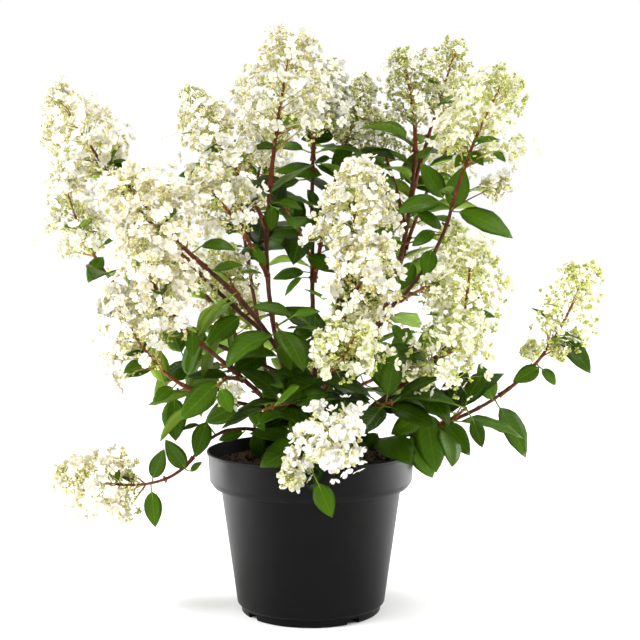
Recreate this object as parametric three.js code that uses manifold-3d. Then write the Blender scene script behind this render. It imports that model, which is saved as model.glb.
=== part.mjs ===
// A panicle hydrangea in flower, grown as a shrub in its round nursery pot.
// Millimetres, +Z up. The origin is on the ground, on the pot's axis. +X is the shrub's right and
// +Y its back, so a viewer who faces the shrub looks along +Y.
//
// A short woody trunk stands on the root ball and forks into stems. Each stem ends where a shoot
// begins. A shoot is one solid: its stem, pairs of opposite leaves and, on most, a flower panicle.
import * as THREE from 'three';
import { mergeVertices } from 'three/addons/utils/BufferGeometryUtils.js';
import Module from 'manifold-3d';

const wasm = await Module();
wasm.setup();

// ---------- Driving dimensions ----------
const GAP = 0.3; // clearance between pieces that touch on the real plant
const FINEST = 0.08; // detail finer than this is dropped where pieces are fused

const POT = {
  height: 178,
  rimRadius: 115,
  lipHeight: 14, // the upright top of the band
  bandHeight: 41, // the thickened band below the rim
  bandFootRadius: 111.5,
  bandChamfer: 8, // height of the band's slanted underside
  shoulderRadius: 99.5, // body just below the band
  heelRadius: 81.5, // body where it turns in to the foot
  heelHeight: 10,
  footRadius: 77,
  footWidth: 15,
  padRadius: 34, // flat middle of the underside
  recess: 3.5, // depth of the ring between the middle and the foot
  wall: 2.2,
  facets: 32,
  notches: 4,
  notchWidth: 15,
  notchHeight: 5.5,
  notchBearing: 36, // degrees, from the front towards the right
  drains: 4,
  drainRadius: 5,
};
const SOIL = { edgeHeight: 163, crownHeight: 169, facets: 20, clearance: 0.5 };
const TRUNK = { height: 34, flareRadius: 24, neckRadius: 15, topRadius: 12.5, leanX: 3, leanY: -2, sides: 12 };

const STEM = { sides: 8, steps: 5 }; // facets of a bare stem
const SHOOT = { sides: 4, steps: 4, footRadius: 2.6, tipRadius: 1.1, room: 9, stations: 9 };
const LEAF = {
  length: 66,
  breadth: 0.52,
  thickness: 1.3,
  rise: 0.42,
  droop: 0.5,
  fold: 0.1,
  turns: [0, 0.5, -0.5, 1, -1], // a leaf that has no room is turned by these
  shares: [1, 0.82, 0.66], // and then shortened to these
};
const PANICLE = {
  fullness: [0.72, 0.64, 0.56, 0.48, 0.4, 0.32], // the heart's share of the width, the widest with room
  branchSpacing: 13.2,
  floretRadius: 13,
  floretDepth: 5,
  stalk: 0.7, // how far a floret's back reaches in, as a share of its branch
  sides: 6,
  rings: 4,
  shares: [1, 0.88, 0.76], // a floret that has no room is drawn in to these
};
const CLEAR = { limb: 2.5, stray: 5, pot: 3 }; // stray: how far a leaf may pass its space's edge
const GOLDEN_TURN = THREE.MathUtils.degToRad(137.508);

// Bare stems. foot: where a stem leaves the trunk (bearing in degrees, anticlockwise from +X seen from
// above, and height), or the stem it leaves and how far along it. tip: its upper end. out and up: the
// share of the way out and up at which its curve's middle control point lies. radii: foot and tip.
const STEMS = {
  left_stem: { foot: [245, 190], tip: [-108, -82, 379], out: 0.1, up: 0.5, radii: [4.4, 3.2] },
  left_front_stem: { foot: [232, 184], tip: [-112, -90, 300], out: 0.45, up: 0.5, radii: [4, 3] },
  low_left_stem: { on: 'left_front_stem', at: 0.38, tip: [-122, -78, 252], out: 0.5, up: 0.2, radii: [3, 2.4] },
  mid_left_stem: { on: 'left_stem', at: 0.36, tip: [-172, -26, 330], out: 0.5, up: 0.45, radii: [3.2, 2.5] },
  far_left_stem: { on: 'left_stem', at: 0.6, tip: [-196, 18, 446], out: 0.5, up: 0.42, radii: [3.3, 2.7] },
  top_stem: { foot: [150, 200], tip: [-44, -16, 466], out: 1.35, up: 0.45, radii: [4.2, 3] },
  centre_stem: { foot: [62, 200], tip: [2, 58, 500], out: 1.6, up: 0.45, radii: [4.2, 2.9] },
  front_stem: { foot: [272, 190], tip: [26, -92, 326], out: 0.35, up: 0.5, radii: [3.6, 2.7] },
  right_stem: { foot: [20, 194], tip: [117, 38, 508], out: 0.92, up: 0.42, radii: [4.6, 3] },
  right_side_stem: { on: 'right_stem', at: 0.46, tip: [152, -22, 444], out: 0.75, up: 0.42, radii: [3.2, 2.6] },
  low_right_stem: { foot: [322, 186], tip: [130, -68, 283], out: 0.5, up: 0.42, radii: [3.8, 2.8] },
  far_right_stem: { foot: [352, 180], tip: [206, -10, 238], out: 0.62, up: 0.12, radii: [3.6, 2.5] },
  rim_left_stem: { foot: [212, 179], tip: [-125, -49, 177], out: 0.7, up: -26, radii: [3, 2.1] },
  back_left_stem: { foot: [128, 187], tip: [-118, 128, 330], out: 0.5, up: 0.4, radii: [4, 3] },
  back_top_stem: { on: 'back_left_stem', at: 0.4, tip: [-84, 138, 430], out: 0.45, up: 0.4, radii: [3.2, 2.6] },
  back_right_stem: { foot: [40, 186], tip: [112, 118, 400], out: 0.6, up: 0.4, radii: [4, 2.9] },
};

// Shoots that carry a panicle. on and at: the stem and how far along it. tip: the panicle's point.
// flower: the panicle's length and half width. pairs: how many pairs of leaves stand below it.
const FLOWERING = {
  top_panicle: { on: 'top_stem', at: 1, tip: [-20, -14, 622], flower: [116, 64], pairs: 1 },
  upper_left_panicle: { on: 'top_stem', at: 0.84, tip: [-124, -4, 546], flower: [86, 52], pairs: 2 },
  upper_left_front_panicle: { on: 'top_stem', at: 0.66, tip: [-112, -72, 470], flower: [72, 46], pairs: 1 },
  top_back_panicle: { on: 'centre_stem', at: 1, tip: [22, 74, 612], flower: [88, 38], pairs: 1 },
  upper_middle_panicle: { on: 'centre_stem', at: 0.56, tip: [62, 66, 590], flower: [72, 34], pairs: 3 },
  right_top_panicle: { on: 'right_stem', at: 1, tip: [102, 34, 616], flower: [80, 38], pairs: 1 },
  right_top_back_panicle: { on: 'right_stem', at: 0.86, tip: [170, 92, 636], flower: [84, 40], pairs: 2 },
  right_inner_panicle: { on: 'right_stem', at: 0.74, tip: [66, 128, 560], flower: [75, 38], pairs: 3 },
  right_upper_panicle: { on: 'right_side_stem', at: 1, tip: [206, -34, 580], flower: [100, 54], pairs: 2 },
  centre_upper_panicle: { on: 'front_stem', at: 1, tip: [50, -114, 478], flower: [86, 52], pairs: 2 },
  centre_middle_panicle: { on: 'front_stem', at: 0.6, tip: [62, -178, 394], flower: [74, 48], pairs: 2 },
  centre_low_panicle: { on: 'front_stem', at: 0.3, tip: [46, -176, 316], flower: [68, 44], pairs: 2 },
  right_middle_panicle: { on: 'low_right_stem', at: 1, tip: [166, -60, 404], flower: [94, 51], pairs: 1 },
  right_low_panicle: { on: 'low_right_stem', at: 0.72, tip: [160, -140, 312], flower: [70, 46], pairs: 2 },
  far_right_panicle: { on: 'far_right_stem', at: 1, tip: [303, 0, 377], flower: [88, 42], pairs: 3 },
  front_low_panicle: { on: 'trunk', foot: [262, 178], tip: [24, -204, 214], flower: [62, 40], pairs: 2 },
  far_left_low_panicle: { on: 'rim_left_stem', at: 1, tip: [-270, -42, 159], flower: [82, 41], pairs: 2 },
  far_left_top_panicle: { on: 'far_left_stem', at: 1, tip: [-282, 18, 573], flower: [108, 50], pairs: 1 },
  far_left_middle_panicle: { on: 'mid_left_stem', at: 1, tip: [-270, -8, 476], flower: [86, 42], pairs: 3 },
  left_front_panicle: { on: 'left_stem', at: 1, tip: [-188, -110, 466], flower: [90, 56], pairs: 1 },
  left_front_low_panicle: { on: 'left_front_stem', at: 1, tip: [-172, -140, 404], flower: [84, 52], pairs: 2 },
  left_low_panicle: { on: 'low_left_stem', at: 1, tip: [-195, -114, 347], flower: [82, 50], pairs: 2 },
  inner_left_panicle: { on: 'left_stem', at: 0.8, tip: [-98, 22, 384], flower: [62, 36], pairs: 2 },
  back_left_top_panicle: { on: 'back_top_stem', at: 1, tip: [-150, 168, 594], flower: [70, 30], pairs: 4 },
  back_top_panicle: { on: 'back_top_stem', at: 0.8, tip: [-52, 186, 566], flower: [88, 46], pairs: 3 },
  back_left_panicle: { on: 'back_left_stem', at: 1, tip: [-206, 166, 404], flower: [86, 48], pairs: 2 },
  back_left_low_panicle: { on: 'back_left_stem', at: 0.74, tip: [-100, 216, 344], flower: [80, 44], pairs: 3 },
  back_upper_panicle: { on: 'back_right_stem', at: 0.84, tip: [74, 204, 480], flower: [86, 46], pairs: 3 },
  back_right_top_panicle: { on: 'back_right_stem', at: 1, tip: [184, 158, 560], flower: [86, 46], pairs: 3 },
  back_right_panicle: { on: 'back_right_stem', at: 0.66, tip: [196, 182, 376], flower: [82, 46], pairs: 3 },
  back_middle_panicle: { on: 'back_right_stem', at: 0.46, tip: [62, 214, 350], flower: [80, 44], pairs: 3 },
  back_low_panicle: { on: 'trunk', foot: [92, 180], tip: [4, 206, 262], flower: [68, 42], pairs: 3 },
};

// Leafy shoots, with no flower, that fill the foot and the inside of the shrub.
const LEAFY = {
  front_left_leaves: { on: 'left_front_stem', at: 0.66, tip: [-92, -138, 262], pairs: 4 },
  front_leaves: { on: 'front_stem', at: 0.24, tip: [-46, -152, 240], pairs: 4 },
  front_right_leaves: { on: 'low_right_stem', at: 0.4, tip: [82, -140, 246], pairs: 4 },
  right_leaves: { on: 'far_right_stem', at: 0.6, tip: [160, -98, 236], pairs: 3 },
  left_leaves: { on: 'low_left_stem', at: 0.72, tip: [-158, -24, 246], pairs: 4 },
  inner_leaves: { on: 'centre_stem', at: 0.62, tip: [-30, -2, 446], pairs: 4 },
  centre_leaves: { on: 'left_stem', at: 0.34, tip: [-34, -110, 322], pairs: 4 },
  back_left_leaves: { on: 'back_left_stem', at: 0.5, tip: [-152, 92, 268], pairs: 4 },
  back_right_leaves: { on: 'back_right_stem', at: 0.26, tip: [128, 92, 262], pairs: 4 },
};

// ---------- Small helpers ----------
const UP = new THREE.Vector3(0, 0, 1);
const vector = (point) => new THREE.Vector3(...point);
const radians = THREE.MathUtils.degToRad;

// A repeatable row of numbers from 0 to 1.
function dice(seed) {
  let state = (seed * 7919 + 12345) % 4294967296;
  const roll = () => {
    state = (state * 1664525 + 1013904223) % 4294967296;
    return state / 4294967296;
  };
  for (let i = 0; i < 3; i++) roll();
  return roll;
}

function around(bearing) {
  return new THREE.Vector3(Math.cos(radians(bearing)), Math.sin(radians(bearing)), 0);
}

// A three.js geometry with its vertices joined up, so that its faces close.
function welded(geometry) {
  if (geometry.index && !geometry.hasAttribute('uv')) return geometry;
  const bare = geometry.clone();
  bare.deleteAttribute('normal');
  bare.deleteAttribute('uv');
  return mergeVertices(bare, 1e-4);
}

// A closed three.js geometry as a manifold-3d solid.
function solidFrom(geometry) {
  const closed = welded(geometry);
  return new wasm.Manifold(
    new wasm.Mesh({
      numProp: 3,
      vertProperties: new Float32Array(closed.attributes.position.array),
      triVerts: new Uint32Array(closed.index.array),
    }),
  );
}

function geometryFrom(solid) {
  const mesh = solid.getMesh();
  const positions = new Float32Array(mesh.numVert * 3);
  for (let i = 0; i < mesh.numVert; i++) {
    positions.set(mesh.vertProperties.subarray(i * mesh.numProp, i * mesh.numProp + 3), i * 3);
  }
  const geometry = new THREE.BufferGeometry();
  geometry.setAttribute('position', new THREE.BufferAttribute(positions, 3));
  geometry.setIndex(new THREE.BufferAttribute(new Uint32Array(mesh.triVerts), 1));
  geometry.computeVertexNormals();
  return geometry;
}

// Moves every vertex of a geometry by a rule.
function reshape(geometry, rule) {
  const shape = welded(geometry);
  const position = shape.attributes.position;
  const vertex = new THREE.Vector3();
  for (let i = 0; i < position.count; i++) {
    vertex.fromBufferAttribute(position, i);
    const moved = rule(vertex);
    position.setXYZ(i, moved.x, moved.y, moved.z);
  }
  return shape;
}

// ---------- Curves of stems and shoots ----------
// A limb's centre line with a steady frame: two directions across it that don't spin along it.
class Limb {
  constructor(foot, middle, tip, footRadius, tipRadius) {
    this.curve = new THREE.QuadraticBezierCurve3(foot, middle, tip);
    this.footRadius = footRadius;
    this.tipRadius = tipRadius;
    const chord = tip.clone().sub(foot).normalize();
    this.level = new THREE.Vector3().crossVectors(chord, UP);
    if (this.level.length() < 0.05) this.level.set(1, 0, 0);
    this.level.normalize();
    this.length = polylineLength(this.curve);
  }
  frame(t) {
    const centre = this.curve.getPoint(t);
    const a = this.curve.v1.clone().sub(this.curve.v0).multiplyScalar(1 - t);
    const b = this.curve.v2.clone().sub(this.curve.v1).multiplyScalar(t);
    const along = a.add(b).normalize();
    const across = this.level.clone().addScaledVector(along, -this.level.dot(along)).normalize();
    const over = new THREE.Vector3().crossVectors(along, across);
    return { centre, along, across, over };
  }
  radius(t) {
    return this.footRadius + (this.tipRadius - this.footRadius) * t;
  }
}

function polylineLength(curve, steps = 24) {
  let total = 0;
  let last = curve.getPoint(0);
  for (let i = 1; i <= steps; i++) {
    const next = curve.getPoint(i / steps);
    total += next.distanceTo(last);
    last = next;
  }
  return total;
}

// A tapering round limb: a cylinder bent along its centre line. extra makes it thicker all round.
function limbGeometry(limb, sides, steps, endShare = 1, extra = 0) {
  const straight = new THREE.CylinderGeometry(1, 1, 1, sides, steps);
  return reshape(straight, (v) => {
    const t = (v.y + 0.5) * endShare;
    const { centre, across, over } = limb.frame(t);
    const radius = limb.radius(t) + extra;
    return centre.addScaledVector(across, v.z * radius).addScaledVector(over, v.x * radius);
  });
}

// ---------- Trunk ----------
function trunkRadius(height) {
  const share = THREE.MathUtils.clamp((height - SOIL.crownHeight) / TRUNK.height, 0, 1);
  const flare = (TRUNK.flareRadius - TRUNK.neckRadius) * (1 - Math.min(1, share / 0.35)) ** 2;
  return flare + TRUNK.neckRadius + (TRUNK.topRadius - TRUNK.neckRadius) * share;
}

function trunkCentre(height) {
  const share = (height - SOIL.crownHeight) / TRUNK.height;
  return new THREE.Vector3(TRUNK.leanX * share, TRUNK.leanY * share, height);
}

function trunkGeometry(extra = 0) {
  const foot = SOIL.crownHeight + GAP - extra;
  const rings = 5;
  const straight = new THREE.CylinderGeometry(1, 1, 1, TRUNK.sides, rings);
  return reshape(straight, (v) => {
    const share = v.y + 0.5;
    const height = foot + share * (TRUNK.height + 2 * extra);
    const bearing = Math.atan2(v.x, v.z);
    const ridge = 1 + 0.09 * (1 - share) * Math.cos(4 * bearing + 0.6);
    const centre = trunkCentre(height);
    const radius = trunkRadius(height) * ridge + extra;
    return new THREE.Vector3(centre.x + v.z * radius, centre.y + v.x * radius, height);
  });
}

// ---------- Where limbs start ----------
// A limb's foot lies just inside what carries it, and seat() then cuts it back to the gap.
function startOnTrunk([bearing, height], radius) {
  return trunkCentre(height).addScaledVector(around(bearing), trunkRadius(height) - 1.2 * radius);
}

// One that carries on from a limb's end starts the gap beyond it.
function startOnLimb(parent, at, towards, radius) {
  const { centre, along } = parent.frame(at);
  if (at >= 1) return centre.addScaledVector(along, GAP);
  const outwards = towards.clone().sub(centre);
  outwards.addScaledVector(along, -outwards.dot(along)).normalize();
  return centre.addScaledVector(outwards, Math.max(0, parent.radius(at) - 1.2 * radius));
}

function biggest(solid) {
  return solid.decompose().sort((a, b) => b.volume() - a.volume())[0];
}

// A limb's solid, cut back to stand the gap clear of what carries it.
function seat(solid, row, carriers) {
  return row.at >= 1 ? solid : biggest(solid.subtract(carriers[row.on || 'trunk']));
}

function growStems() {
  const limbs = {};
  for (const [name, row] of Object.entries(STEMS)) {
    const tip = vector(row.tip);
    const [footRadius, tipRadius] = row.radii;
    const rough = row.on ? limbs[row.on].frame(row.at).centre : trunkCentre(row.foot[1]);
    const middle = new THREE.Vector3(
      rough.x + (tip.x - rough.x) * row.out,
      rough.y + (tip.y - rough.y) * row.out,
      rough.z + (tip.z - rough.z) * row.up,
    );
    const foot = row.on
      ? startOnLimb(limbs[row.on], row.at, middle, footRadius)
      : startOnTrunk(row.foot, footRadius);
    limbs[name] = new Limb(foot, middle, tip, footRadius, tipRadius);
  }
  return limbs;
}

// A shoot's line carries on from its stem, then bends to its own tip.
function growShoots(rows, limbs, shoots) {
  for (const [name, row] of Object.entries(rows)) {
    const tip = vector(row.tip);
    const parent = limbs[row.on];
    const rough = parent ? parent.frame(row.at).centre : trunkCentre(row.foot[1]);
    const reach = tip.distanceTo(rough);
    const heading = tip.clone().sub(rough).normalize();
    if (parent && row.at >= 1) heading.copy(parent.frame(1).along);
    else if (parent) heading.addScaledVector(parent.frame(row.at).along, 0.45).normalize();
    else heading.add(new THREE.Vector3(0, 0, 0.5)).normalize();
    const footRadius = parent ? Math.min(SHOOT.footRadius, parent.radius(row.at) * 0.9) : SHOOT.footRadius;
    const middle = rough.clone().addScaledVector(heading, reach * 0.42);
    const foot = parent
      ? startOnLimb(parent, row.at, middle, footRadius)
      : startOnTrunk(row.foot, footRadius);
    const shoot = new Limb(foot, middle, tip, footRadius, SHOOT.tipRadius);
    shoot.name = name;
    shoot.row = row;
    shoot.pairs = row.pairs;
    [shoot.flowerLength, shoot.flowerHalf] = row.flower || [0, 0];
    shoot.flowerStart = 1 - shoot.flowerLength / shoot.length;
    shoot.seed = shoots.length + 1;
    shoots.push(shoot);
  }
  return shoots;
}

// ---------- Each shoot's own space ----------
// How wide a panicle is at a share of its length: broad low down, narrowing to a blunt top.
function panicleProfile(share) {
  return Math.min(1, 0.6 + 2.8 * share) * Math.sqrt(1 - 0.88 * share * share);
}

// Round stations along a shoot hold the space that its stem and panicle need.
function stationsOf(shoot) {
  const stations = [];
  for (let i = 0; i < SHOOT.stations; i++) {
    const t = (i + 0.5) / SHOOT.stations;
    const share = (t - shoot.flowerStart) / (1 - shoot.flowerStart);
    const inFlower = shoot.flowerLength > 0 && share > 0;
    const room = inFlower ? shoot.flowerHalf * panicleProfile(share) : SHOOT.room;
    stations.push({ centre: shoot.curve.getPoint(t), room });
  }
  return stations;
}

function reachOutside(shoot, point) {
  let least = Infinity;
  for (const { centre, room } of shoot.stations) least = Math.min(least, point.distanceTo(centre) - room);
  return least;
}

function clearOfPot(point) {
  const reach = Math.hypot(point.x, point.y);
  if (point.z > POT.height + CLEAR.pot) return true;
  if (reach > POT.rimRadius + CLEAR.pot) return point.z > CLEAR.pot;
  return point.z > SOIL.crownHeight + CLEAR.pot && reach < POT.rimRadius - POT.wall - 4 * CLEAR.pot;
}

// True if a point belongs to this shoot's space and is clear of stems, trunk and pot.
function ownSpace(shoot, point, plant) {
  if (!clearOfPot(point)) return false;
  const own = reachOutside(shoot, point) - CLEAR.stray;
  if (plant.shoots.some((other) => other !== shoot && reachOutside(other, point) < own)) return false;
  return plant.limbLines.every(({ centre, radius }) => point.distanceTo(centre) > radius + CLEAR.limb);
}

// Points along every bare stem and the trunk, close enough together to keep leaves off them.
function limbLines(limbs) {
  const spots = [];
  for (const limb of Object.values(limbs)) {
    const count = Math.ceil(limb.length / 3);
    for (let i = 0; i <= count; i++) {
      spots.push({ centre: limb.curve.getPoint(i / count), radius: limb.radius(i / count) });
    }
  }
  for (let height = SOIL.crownHeight; height < SOIL.crownHeight + TRUNK.height; height += 4) {
    spots.push({ centre: trunkCentre(height), radius: trunkRadius(height) });
  }
  return spots;
}

// ---------- Leaves ----------
// Where each leaf of a shoot stands: opposite pairs, each pair a quarter turn from the last.
function leavesOf(shoot) {
  const roll = dice(shoot.seed);
  const leaves = [];
  const bare = shoot.flowerLength > 0 ? shoot.flowerStart : 1;
  const turn = roll() * Math.PI;
  for (let pair = 0; pair < shoot.pairs; pair++) {
    const t = (bare * (pair + 0.75)) / (shoot.pairs + (shoot.flowerLength > 0 ? 0.15 : -0.2));
    const bearing = turn + (pair * Math.PI) / 2 + (roll() - 0.5) * 0.5;
    for (const side of [0, Math.PI]) {
      leaves.push({
        t: Math.min(t, 0.97),
        bearing: bearing + side,
        length: LEAF.length * (0.78 + 0.36 * roll()),
        rise: LEAF.rise + (roll() - 0.5) * 0.3,
        droop: LEAF.droop + (roll() - 0.5) * 0.5,
      });
    }
  }
  return leaves;
}

// The leaf set on its shoot, turned about it and shortened as asked.
function placeLeaf(shoot, { t, bearing, length, rise, droop }, turn, share) {
  const { centre, along, across, over } = shoot.frame(t);
  const heading = across
    .multiplyScalar(Math.cos(bearing + turn))
    .addScaledVector(over, Math.sin(bearing + turn))
    .addScaledVector(along, rise)
    .normalize();
  const face = along.clone().multiplyScalar(0.5).addScaledVector(UP, 0.8);
  const sideways = new THREE.Vector3().crossVectors(face, heading).normalize();
  return { root: centre, heading, sideways, length: length * share, droop };
}

// The first way of setting a leaf that keeps it in its shoot's own space and clear of all else.
function fitLeaf(shoot, leaf, plant) {
  for (const share of LEAF.shares) {
    for (const turn of LEAF.turns) {
      const placed = placeLeaf(shoot, leaf, turn, share);
      if (!leafFits(shoot, placed, plant)) continue;
      const solid = solidFrom(leafGeometry(placed));
      if (isClear(shoot, solid, plant)) return solid;
    }
  }
  return null;
}

// A point of a leaf: u from its root to its tip, s from -1 to 1 across it, w through its thickness.
function leafPoint(leaf, u, s, w) {
  const breadth = leaf.length * LEAF.breadth * 0.5;
  const normal = new THREE.Vector3().crossVectors(leaf.heading, leaf.sideways);
  return leaf.root
    .clone()
    .addScaledVector(leaf.heading, leaf.length * u)
    .addScaledVector(UP, -leaf.length * leaf.droop * u * u * 0.5)
    .addScaledVector(leaf.sideways, breadth * s)
    .addScaledVector(normal, LEAF.fold * breadth * Math.abs(s) + w * LEAF.thickness * 0.5);
}

function leafFits(shoot, leaf, plant) {
  for (const u of [0.25, 0.42, 0.58, 0.74, 0.88, 1]) {
    const width = Math.sin(Math.PI * Math.min(1, u ** 0.9)) ** 0.7;
    for (const s of [-1, -0.5, 0, 0.5, 1]) {
      if (!ownSpace(shoot, leafPoint(leaf, u, s * width, 0), plant)) return false;
    }
  }
  return true;
}

// The leaf's solid: six points round its edge and a ridge above and below.
function leafGeometry(leaf) {
  return reshape(new THREE.SphereGeometry(1, 6, 2), (v) => {
    const share = (1 + v.x) / 2;
    const u = share - 0.64 * share * share * (1 - share);
    return leafPoint(leaf, u, -v.z * (1.25 - 0.3 * share), v.y);
  });
}

// ---------- Panicles ----------
// Side branches of a panicle, set round its axis by the golden turn, longest low down.
function branchesOf(shoot) {
  const roll = dice(shoot.seed + 500);
  const count = Math.round(shoot.flowerLength / PANICLE.branchSpacing) + 3;
  const branches = [];
  for (let i = 0; i < count; i++) {
    const share = ((i + 0.3) / count) ** 1.15;
    const t = shoot.flowerStart + (1 - shoot.flowerStart) * share * 0.96;
    const { centre, along, across, over } = shoot.frame(t);
    const bearing = i * GOLDEN_TURN + (roll() - 0.5) * 0.4;
    const reach = shoot.flowerHalf * panicleProfile(share) * (0.86 + 0.22 * roll());
    const heading = across
      .multiplyScalar(Math.cos(bearing))
      .addScaledVector(over, Math.sin(bearing))
      .addScaledVector(along, 0.25 + 1.1 * share)
      .normalize();
    const twist = roll() * Math.PI;
    branches.push({ root: centre, heading, along, reach, twist });
  }
  return branches;
}

// A sterile floret, faced outwards: four sepals read as the four corners of a flat solid.
function floretGeometry(branch, reach) {
  const heart = branch.root.clone().addScaledVector(branch.heading, reach - PANICLE.floretDepth * 0.5);
  const across = new THREE.Vector3().crossVectors(branch.heading, branch.along).normalize();
  const over = new THREE.Vector3().crossVectors(across, branch.heading);
  return reshape(new THREE.SphereGeometry(1, 4, 2), (v) => {
    const turned = new THREE.Vector2(v.x, v.z).rotateAround(new THREE.Vector2(), branch.twist);
    const depth = v.y > 0 ? PANICLE.floretDepth * 0.35 : reach * PANICLE.stalk;
    return heart
      .clone()
      .addScaledVector(across, turned.x * PANICLE.floretRadius)
      .addScaledVector(over, turned.y * PANICLE.floretRadius)
      .addScaledVector(branch.heading, v.y * depth);
  });
}

function floretFits(shoot, branch, reach, plant) {
  const rim = branch.root.clone().addScaledVector(branch.heading, reach);
  const across = new THREE.Vector3().crossVectors(branch.heading, branch.along).normalize();
  const over = new THREE.Vector3().crossVectors(across, branch.heading);
  if (!ownSpace(shoot, rim, plant)) return false;
  for (let corner = 0; corner < 8; corner++) {
    const point = rim
      .clone()
      .addScaledVector(across, Math.cos((corner * Math.PI) / 4) * PANICLE.floretRadius)
      .addScaledVector(over, Math.sin((corner * Math.PI) / 4) * PANICLE.floretRadius);
    if (!ownSpace(shoot, point, plant)) return false;
  }
  return true;
}

// A floret as far out on its branch as there is room for it, or nothing.
function fitFloret(shoot, branch, plant) {
  for (const share of PANICLE.shares) {
    const reach = branch.reach * share;
    if (!floretFits(shoot, branch, reach, plant)) continue;
    const solid = solidFrom(floretGeometry(branch, reach));
    if (isClear(shoot, solid, plant)) return solid;
  }
  return null;
}

// How far out along a line a shoot's own space goes, up to the reach asked for.
function roomTowards(shoot, from, heading, reach, plant) {
  for (let share = 1; share > 0.2; share -= 0.1) {
    const point = from.clone().addScaledVector(heading, reach * share);
    if (ownSpace(shoot, point, plant)) return reach * share;
  }
  return reach * 0.15;
}

// The dense heart of buds that the florets stand out of.
function coreGeometry(shoot, fullness, plant) {
  const roll = dice(shoot.seed + 900);
  return reshape(new THREE.SphereGeometry(1, PANICLE.sides, PANICLE.rings), (v) => {
    const share = Math.acos(THREE.MathUtils.clamp(-v.y, -1, 1)) / Math.PI;
    const t = shoot.flowerStart + (1 - shoot.flowerStart) * (0.02 + 0.93 * share);
    const { centre, across, over } = shoot.frame(t);
    if (Math.abs(v.y) > 0.999) return centre;
    const bearing = Math.atan2(v.x, v.z);
    const heading = across.multiplyScalar(Math.cos(bearing)).addScaledVector(over, Math.sin(bearing));
    const reach = shoot.flowerHalf * fullness * panicleProfile(share) * (0.82 + 0.3 * roll());
    return centre.clone().addScaledVector(heading, roomTowards(shoot, centre, heading, reach, plant));
  });
}

// ---------- A shoot as one solid ----------
function boxesMeet(a, b) {
  return [0, 1, 2].every((axis) => a.min[axis] < b.max[axis] + GAP && b.min[axis] < a.max[axis] + GAP);
}

// True if a leaf or floret stays clear of every solid that isn't its own shoot's.
function isClear(shoot, solid, plant) {
  const box = solid.boundingBox();
  const others = plant.solids.filter((other) => other.owner !== shoot.name && boxesMeet(box, other.box));
  return others.every((other) => solid.minGap(other.solid, GAP) >= GAP);
}

function settle(plant, owner, solid) {
  plant.solids.push({ owner, solid, box: solid.boundingBox() });
}

function shootStem(shoot, carriers) {
  const end = shoot.flowerLength > 0 ? 0.93 : 1;
  return seat(solidFrom(limbGeometry(shoot, SHOOT.sides, SHOOT.steps, end)), shoot.row, carriers);
}

// The heart of a panicle, as full as the solids round it allow.
function fitCore(shoot, plant) {
  for (const fullness of PANICLE.fullness) {
    const solid = solidFrom(coreGeometry(shoot, fullness, plant));
    if (isClear(shoot, solid, plant)) return solid;
  }
  throw new Error(`${shoot.name}: there is no room for its panicle`);
}

// The whole shoot: its stem and heart, with the leaves and florets that have room.
function shootSolid(shoot, hearts, plant) {
  const pieces = [...hearts];
  const keep = (solid) => {
    if (!solid) return;
    pieces.push(solid);
    settle(plant, shoot.name, solid);
  };
  if (shoot.flowerLength > 0) for (const branch of branchesOf(shoot)) keep(fitFloret(shoot, branch, plant));
  for (const leaf of leavesOf(shoot)) keep(fitLeaf(shoot, leaf, plant));
  return biggest(wasm.Manifold.union(pieces).asOriginal().simplify(FINEST));
}

// ---------- Pot and root ball ----------
function potProfile() {
  const bandFoot = POT.height - POT.bandHeight;
  const lip = POT.wall * 0.55;
  const bandTop = POT.height - POT.lipHeight;
  const ring = POT.footRadius - POT.footWidth;
  const floor = POT.recess + POT.wall;
  return [
    [0, 0],
    [POT.padRadius, 0],
    [POT.padRadius + 2, POT.recess],
    [ring, POT.recess],
    [ring, 0],
    [POT.footRadius, 0],
    [POT.footRadius + 1, POT.heelHeight - 2],
    [POT.heelRadius, POT.heelHeight],
    [POT.shoulderRadius, bandFoot],
    [POT.shoulderRadius + 8, bandFoot + 2],
    [POT.bandFootRadius, bandFoot + POT.bandChamfer],
    [POT.rimRadius, bandTop],
    [POT.rimRadius, POT.height - lip],
    [POT.rimRadius - lip, POT.height],
    [POT.rimRadius - POT.wall, POT.height],
    [POT.rimRadius - POT.wall, bandTop],
    [POT.bandFootRadius - POT.wall, bandFoot + POT.bandChamfer + 1],
    [POT.shoulderRadius - POT.wall, bandFoot + 1],
    [POT.heelRadius - POT.wall, POT.heelHeight],
    [ring, POT.heelHeight],
    [ring - 3, floor],
    [0, floor],
  ];
}

function latheUpright(profile, facets) {
  const points = profile.map(([radius, height]) => new THREE.Vector2(radius, height));
  return new THREE.LatheGeometry(points, facets).rotateX(Math.PI / 2);
}

function potSolid() {
  let pot = solidFrom(latheUpright(potProfile(), POT.facets));
  const ring = POT.footRadius - POT.footWidth;
  for (let i = 0; i < POT.notches; i++) {
    const bearing = radians(POT.notchBearing - 90 + (360 / POT.notches) * i);
    const notch = new THREE.BoxGeometry(POT.footWidth * 2, POT.notchWidth, POT.notchHeight * 2);
    notch.translate(POT.footRadius, 0, 0).rotateZ(bearing);
    pot = pot.subtract(solidFrom(notch));
  }
  for (let i = 0; i < POT.drains; i++) {
    const drain = new THREE.CylinderGeometry(POT.drainRadius, POT.drainRadius, POT.wall * 3, 8);
    drain.rotateX(Math.PI / 2).translate((POT.padRadius + ring) / 2, 0, POT.recess + POT.wall / 2);
    drain.rotateZ(radians(POT.notchBearing + (360 / POT.drains) * i));
    pot = pot.subtract(solidFrom(drain));
  }
  return pot;
}

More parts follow.
